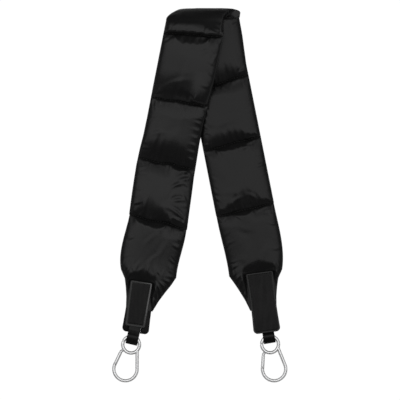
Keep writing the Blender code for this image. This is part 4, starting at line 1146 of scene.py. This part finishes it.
for leg in (LOW, TOP):
    place = tab_frame(leg)
    end = f"{leg.name}_end"
    back_rim, front_rim = (0.0, TOP_RIM) if leg.top else (LOW_RIM, 0.0)
    # The top end's edges take the lighter, shinier copy of the edge leather and the low end's the duller
    # copy: painted highlight and painted shade
    back = plate(f"{leg.name}_back_leather_shell", tab_corners(leg),
                 flip(leather_profile(LEATHER_LEVEL, BACK_TOP, back_rim, BACK_GROOVE, BACK_EDGE_SCALE)),
                 place, LEATHER, LIT_EDGE_PAINT if leg.top else SHADED_EDGE)
    front = plate(f"{leg.name}_overlay_shell", overlay_corners(),
                  leather_profile(LEATHER_LEVEL, OVERLAY_TOP, front_rim, OVERLAY_GROOVE), place,
                  LEATHER, LIT_EDGE_PAINT if leg.top else LEATHER)
    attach(back, end)
    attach(front, end)
    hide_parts(f"{leg.name}_back_leather")
    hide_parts(f"{leg.name}_leather_overlay")
    bm = bmesh.new()
    sunk_back, sunk_front = (SUNK, 0.0) if leg.top else (0.0, SUNK)
    outline_stitches(bm, overlay_corners(), OVERLAY_INSIDE, OVERLAY_STITCH - sunk_front, 1.0, place)
    outline_stitches(bm, tab_corners(leg), BACK_INSIDE, sunk_back - BACK_STITCH, -1.0, place,
                     skip=in_mouth if leg.top else None)
    threads = add_piece(f"{leg.name}_leather_stitches", bm, THREAD, smooth_faces=True)
    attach(threads, end)


# Quilting stitches


def seam_stitches(name, leg, index, sides):
    """The row of stitches along a seam, on these sides of the strap."""
    bm = bmesh.new()
    centre, across, normal, halves = [part[0] for part in leg.rows(leg.seams[index])]
    count = int(2 * halves[0] / SEAM_PITCH)
    for side in sides:
        for step in range(count):
            v = -1.0 + 2.0 * (step + 0.5) / count
            if abs(v) > 0.95:
                continue
            outer = mix(EDGE_RISE, SEAM_RISE * 0.75, float(cross_fullness(np.array(v))))
            point = centre + across * (v * halves[0]) + normal * (side * outer)
            point = point + leg.heading * seam_sway(leg, index, v) + ORIGIN
            stitch_bm(bm, Vector(point), Vector(across), Vector(normal * side), SEAM_STITCH_LENGTH,
                      SEAM_STITCH_WIDTH)
    threads = add_piece(name, bm, THREAD, smooth_faces=True)
    return threads


for leg in (LOW, TOP):
    for index in range(4):
        sides = (1.0,) if index == 0 and not leg.top else (1.0, -1.0)
        threads = seam_stitches(f"{leg.name}_seam_{index + 1}_stitches", leg, index, sides)
        if index == 3:
            across_seam(leg, 3, BEND)
            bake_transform(threads)
        elif index == 0 and leg.top:
            across_seam(leg, 0, BEND)
            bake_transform(threads)
        else:
            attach(threads, f"{leg.name}_leg")


# Loops

LOOP_HALF, LOOP_CORNER = 7.0 * MM, 0.45 * MM
LOOP_DROOP = 0.26
TAIL_STOPS = (-5.0, -3.5, -2.0, -1.0, 0.0)


def polar(degrees, radius):
    """A flat direction with this length."""
    return Vector((math.cos(math.radians(degrees)), math.sin(math.radians(degrees)))) * radius


def loop_path(leg):
    """The leather strip's middle line in its (y, z) plane: from the tail, over the eye's wire and back."""
    slope = math.tan(HOOK_SLOPE)
    level = LOOP_LEVEL - (neck_frame(leg).translation.z - ORIGIN[2])
    ring_top = eye_distance(leg) - EYE
    first = max(ring_top, 2.0 * MM)
    last = leg.setback + leg.loop_reach - LOOP_OUTSIDE
    middle = LOOP_INSIDE + LOOP_LEATHER / 2
    start, end = [Vector((y, level - (y - ring_top) * slope)) for y in (first, last)]
    run = (end - start).length
    lowered = LOOP_DROOP * run / 2
    tail = [Vector((y * MM, LOOP_LEATHER / 2 + 0.02 * MM)) for y in TAIL_STOPS]
    line = tail + [start + polar(degrees, middle) for degrees in (140, 120, 105, 90)]
    line += [start.lerp(end, share) + Vector((0.0, middle - LOOP_DROOP * share ** 2.2 * run))
             for share in (0.15, 0.3, 0.45, 0.6, 0.75, 0.9)]
    for degrees in range(90, -91, -15):
        over = polar(degrees, 1.0)
        line.append(end + Vector((over.x * middle, over.y * (middle - lowered) - lowered)))
    line += [start.lerp(end, share) - Vector((0.0, middle)) for share in (0.75, 0.5, 0.25)]
    line += [start + polar(degrees, middle) for degrees in (-90, -105, -120, -140)]
    return line + [Vector((point.x, -point.y)) for point in reversed(tail)]


def resample(line, count):
    """The line as evenly spaced points, with its corners rounded off."""
    points = np.array([tuple(p) for p in line])
    lengths = np.concatenate([[0.0], np.cumsum(np.linalg.norm(np.diff(points, axis=0), axis=1))])
    at = np.linspace(0.0, lengths[-1], count)
    return blurred(np.stack([np.interp(at, lengths, points[:, k]) for k in (0, 1)], 1), 3)


def leather_strip(leg):
    """The loop: one strip of leather with round painted edges, doubled over the eye."""
    line = resample(loop_path(leg), 70)
    tangent = unit(np.gradient(line, axis=0))
    section = []
    for start, sx, sy in ((0, 1, 1), (90, -1, 1), (180, -1, -1), (270, 1, -1)):
        corner = Vector((sx * (LOOP_HALF - LOOP_CORNER), sy * (LOOP_LEATHER / 2 - LOOP_CORNER)))
        section += [corner + polar(start + turn, LOOP_CORNER) for turn in (0, 30, 60, 90)]
    bm = bmesh.new()
    bridge(bm, [[bm.verts.new((x, y - ty * t, z + tx * t)) for x, t in section]
                for (y, z), (tx, ty) in zip(line, tangent)])
    # The strip takes the darker copy of the leather, painted shade
    return solid_piece(f"{leg.name}_loop_strip", bm, 60.0, neck_frame(leg), SHADED_LOOP_LEATHER)


for leg in (LOW, TOP):
    strip = leather_strip(leg)
    neck = neck_frame(leg)
    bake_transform(strip)
    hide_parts(f"{leg.name}_leather_loop")


# Hooks

GATE_RADIUS = 2.04
# The gate's root and shaft in mm, as (place, radius), then its tip as (distance from the end, radius)
GATE_STOPS = ((-1.9, 0.9), (-1.6, 1.5), (-1.0, 1.9)) + tuple((y, GATE_RADIUS) for y in (0, 1.5, 4, 7, 10, 13))
GATE_TIP = ((0.3, GATE_RADIUS), (0.1, 2.0), (0.0, 1.88))
GATE_SHORT = 0.35 * MM
FORK_SLOT = (8 * MM, 5.4 * MM, 1.9 * MM)
# A pin head's rings in mm, as (radius, height)
PIN_HEAD = ((1.05, 1.7), (1.05, 2.02), (0.85, 2.14), (0.4, 2.18))
# The hinge's lug, as (share of the way from the pin to the eye, radius in mm). Round the pin it is flattened
LUG_STOPS = ((-0.16, 1.1), (0.1, 1.7), (0.35, 1.75), (0.6, 1.8), (0.85, 2.0), (1.0, 2.05))
TONGUE_HALF, TONGUE_ROUND, TONGUE_NEAR = 0.78 * MM, 2.6 * MM, 2.9 * MM
VOXEL = 0.22 * MM
PLAIN = Matrix.Identity(4)


def tube_bm(bm, path, radii, end_slope=0.0):
    """A closed round bar along a path. A slope slants its last three rings."""
    last = len(path) - 1
    rings = []
    for index, (here, size) in enumerate(zip(path, radii)):
        along = (path[min(index + 1, last)] - path[max(index - 1, 0)]).normalized()
        out = Vector((along.y, -along.x, 0.0)) + along * (end_slope if index > last - 3 else 0.0)
        rings.append(ring(bm, here, out * size, Vector((0.0, 0.0, size)), 28))
    bridge(bm, rings)


def arm_point(length, side=1.0):
    """A point on a straight arm of the hook, this far from the basket towards the eye."""
    a = math.radians(SIDE_ANGLE)
    return Vector((side * (BASKET * math.cos(a) - length * math.sin(a)),
                   DROP - BASKET * math.sin(a) - length * math.cos(a), 0.0))


def hook_body(leg):
    """Eye, spine, basket and nose, cast as one with soft joins."""
    bm = bmesh.new()
    gap = EYE_SPLIT / EYE / 2
    turns = np.linspace(gap, 2 * math.pi - gap, 73) - EYE_SPLIT_TURN
    eye = [Vector((EYE * math.cos(a), EYE * math.sin(a), 0.0)) for a in turns]
    tube_bm(bm, eye, [0.90 * WIRE, 0.97 * WIRE] + [WIRE] * 69 + [0.97 * WIRE, 0.90 * WIRE])
    path = [arm_point(SIDE_LENGTH * share, -1.0) for share in (1.0, 0.8, 0.6, 0.4, 0.2)]
    for step in range(49):
        a = math.radians(180.0 + SIDE_ANGLE + (-180.0 - 2 * SIDE_ANGLE) * step / 48)
        path.append(Vector((BASKET * math.cos(a), DROP + BASKET * math.sin(a), 0.0)))
    tube_bm(bm, path, [WIRE] * len(path), end_slope=-1.0)
    pivot = arm_point(PIVOT_LENGTH)
    to_eye = pivot.normalized() * (EYE - pivot.length)
    tube_bm(bm, [pivot + to_eye * share for share, _ in LUG_STOPS], [size * MM for _, size in LUG_STOPS])
    for vert in bm.verts:
        near = (vert.co - pivot).length < TONGUE_NEAR
        if near and abs(vert.co.z) > TONGUE_HALF and (vert.co.to_2d() - pivot.to_2d()).length < TONGUE_ROUND:
            vert.co.z = math.copysign(TONGUE_HALF, vert.co.z)
    bmesh.ops.recalc_face_normals(bm, faces=bm.faces)
    body = add_piece(f"{leg.name}_hook_body", bm, SILVER)
    remesh = body.modifiers.new("weld", "REMESH")
    remesh.mode = "VOXEL"
    remesh.voxel_size = VOXEL
    remesh.use_smooth_shade = True
    soften = body.modifiers.new("soften", "CORRECTIVE_SMOOTH")
    soften.smooth_type = "LENGTH_WEIGHTED"
    soften.factor = 0.5
    soften.iterations = 6
    soften.use_only_smooth = True
    bpy.context.view_layer.update()
    apply_modifiers(body)
    body.data.shade_smooth()
    return body


def apply_modifiers(thing):
    """Gives a piece the form that its modifiers make of it."""
    graph = bpy.context.evaluated_depsgraph_get()
    mesh = bpy.data.meshes.new_from_object(thing.evaluated_get(graph))
    thing.modifiers.clear()
    thing.data = mesh


def gate_frame(leg):
    """At the gate's pin, Y along the closed gate."""
    pivot = arm_point(PIVOT_LENGTH)
    along = (arm_point(0.0) - pivot).normalized()
    return hook_frame(leg) @ frame_from(pivot, Vector((along.y, -along.x, 0.0)), along)


def gate_bar(leg):
    """The round gate with its forked root and slanted tip."""
    tip = PIVOT_LENGTH - GATE_SHORT
    bm = bmesh.new()
    path = [y * MM for y, _ in GATE_STOPS] + [tip - back * MM for back, _ in GATE_TIP]
    tube_bm(bm, [Vector((0.0, y, 0.0)) for y in path], [size * MM for _, size in GATE_STOPS + GATE_TIP],
            end_slope=-1.0)
    bmesh.ops.recalc_face_normals(bm, faces=bm.faces)
    bar = add_piece(f"{leg.name}_gate_bar", bm, SILVER, smooth_faces=True)
    cutter_bm = bmesh.new()
    bmesh.ops.create_cube(cutter_bm, size=1.0)
    bmesh.ops.scale(cutter_bm, vec=FORK_SLOT, verts=cutter_bm.verts)
    bmesh.ops.translate(cutter_bm, vec=(0.0, -0.6 * MM, 0.0), verts=cutter_bm.verts)
    cutter = add_piece("cutter", cutter_bm)
    fork = bar.modifiers.new("fork", "BOOLEAN")
    fork.object = cutter
    fork.solver = "EXACT"
    bpy.context.view_layer.update()
    apply_modifiers(bar)
    bpy.data.objects.remove(cutter)
    bar.data.set_sharp_from_angle(angle=math.radians(35.0))
    return bar


def pin_head(leg):
    """The two flat rivet heads of the gate's pin."""
    bm = bmesh.new()
    pivot = arm_point(PIVOT_LENGTH)
    for way in (MM, -MM):
        bridge(bm, [ring(bm, pivot + Vector((0.0, 0.0, way * level)), Vector((radius * MM, 0.0, 0.0)),
                         Vector((0.0, radius * MM, 0.0)), 24) for radius, level in PIN_HEAD])
    return solid_piece(f"{leg.name}_pin_heads", bm, 35.0, PLAIN, SILVER)


for leg in (LOW, TOP):
    body, bar, heads = hook_body(leg), gate_bar(leg), pin_head(leg)
    body.matrix_world = heads.matrix_world = hook_frame(leg)
    bar.matrix_world = gate_frame(leg)
    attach(body, f"{leg.name}_hook")
    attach(heads, f"{leg.name}_hook")
    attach(bar, f"{leg.name}_gate")
    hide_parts(f"{leg.name}_hook_wire")
    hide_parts(f"{leg.name}_gate")


def paint(name, material):
    """Gives one of the frame's own solids a material."""
    for slot in frame["nodes"][name].material_slots:
        slot.material = material


for leg in (LOW, TOP):
    paint(f"{leg.name}_gate_pin", SILVER)
    paint(f"{leg.name}_plunger", STEEL)
    paint(f"{leg.name}_gate_spring", STEEL)
    paint(f"{leg.name}_loop_tail", LEATHER)


# Floor, light and camera

FLOOR_GLOW = 0.985
# The share of its own light that the floor keeps from the camera, so that the shadow shows only faintly
FLOOR_HIDDEN = 0.90
SKY_FRONT, SKY_LEAST = 0.34, 0.11
CAMERA_HEIGHT, CAMERA_LEVEL = 3.0, 0.01
SENSOR = 36.0


def make_floor():
    """A white floor that glows to the camera, with a faint shadow."""
    bm = bmesh.new()
    bmesh.ops.create_grid(bm, x_segments=2, y_segments=2, size=6.0)
    material, tree, shader, _ = new_material("floor_white")
    floor = add_piece("floor", bm, material)
    floor.location.z = -0.05 * MM
    shader["Base Color"].default_value = (0.85, 0.85, 0.85, 1.0)
    shader["Roughness"].default_value = 0.9
    shader["Specular IOR Level"].default_value = 0.1
    path = node(tree, "ShaderNodeLightPath")
    seen = maths(tree, "MAXIMUM", path.outputs["Is Camera Ray"], path.outputs["Is Transmission Ray"])
    black = node(tree, "ShaderNodeEmission", in_Strength=0.0)
    glow = node(tree, "ShaderNodeEmission")
    mixer = node(tree, "ShaderNodeMixShader")
    both = node(tree, "ShaderNodeAddShader")
    link(tree, maths(tree, "MULTIPLY", seen, FLOOR_GLOW), glow.inputs["Strength"])
    link(tree, maths(tree, "MULTIPLY", seen, FLOOR_HIDDEN), mixer.inputs[0])
    link(tree, tree.nodes["Principled BSDF"].outputs[0], mixer.inputs[1])
    link(tree, black.outputs[0], mixer.inputs[2])
    link(tree, mixer.outputs[0], both.inputs[0])
    link(tree, glow.outputs[0], both.inputs[1])
    link(tree, both.outputs[0], tree.nodes["Material Output"].inputs["Surface"])


def make_world():
    """White to the camera; to the strap a dim sky, lighter low down towards the hooks."""
    world = bpy.data.worlds.new("studio")
    bpy.context.scene.world = world
    world.use_nodes = True
    tree = world.node_tree
    background = tree.nodes["Background"]
    background.inputs["Color"].default_value = (1.0, 1.0, 1.0, 1.0)
    path = node(tree, "ShaderNodeLightPath")
    parts = node(tree, "ShaderNodeSeparateXYZ")
    link(tree, node(tree, "ShaderNodeTexCoord").outputs["Generated"], parts.inputs[0])
    low_band = ranged(tree, parts.outputs[2], 0.16, 0.42, 1.0, 0.0)
    front = ranged(tree, parts.outputs[1], 0.1, 0.5, 1.0, 0.0)
    sky = scaled(tree, maths(tree, "MULTIPLY", low_band, front), SKY_FRONT, SKY_LEAST)
    link(tree, maths(tree, "MAXIMUM", path.outputs["Is Camera Ray"], sky), background.inputs["Strength"])


def area_light(name, place, aim, size, power):
    data = bpy.data.lights.new(name, "AREA")
    data.shape = "RECTANGLE"
    data.size, data.size_y = size
    data.energy = power
    lamp = bpy.data.objects.new(name, data)
    lamp.location = place
    lamp.rotation_euler = (Vector(aim) - Vector(place)).to_track_quat("-Z", "Y").to_euler()
    bpy.context.scene.collection.objects.link(lamp)


make_floor()
make_world()
area_light("key_strip", (0.0, 0.40, 3.4), (0.0, 0.40, 0.0), (6.0, 2.05), 25.0)
area_light("wide_strip", (0.0, 1.05, 3.6), (0.0, 1.05, 0.0), (8.8, 4.3), 69.0)

camera_data = bpy.data.cameras.new("camera")
camera = bpy.data.objects.new("camera", camera_data)
bpy.context.scene.collection.objects.link(camera)
camera.location = (0.2 * PIXEL, -4.6 * PIXEL, CAMERA_HEIGHT)
camera.rotation_euler = (0.0, 0.0, 0.0)
camera_data.type = "PERSP"
camera_data.sensor_width = SENSOR
camera_data.lens = SENSOR * (CAMERA_HEIGHT - CAMERA_LEVEL) / (PHOTO_WIDTH * PIXEL)
camera_data.clip_end = 50.0
bpy.context.scene.camera = camera
bpy.context.scene.view_settings.view_transform = "Standard"
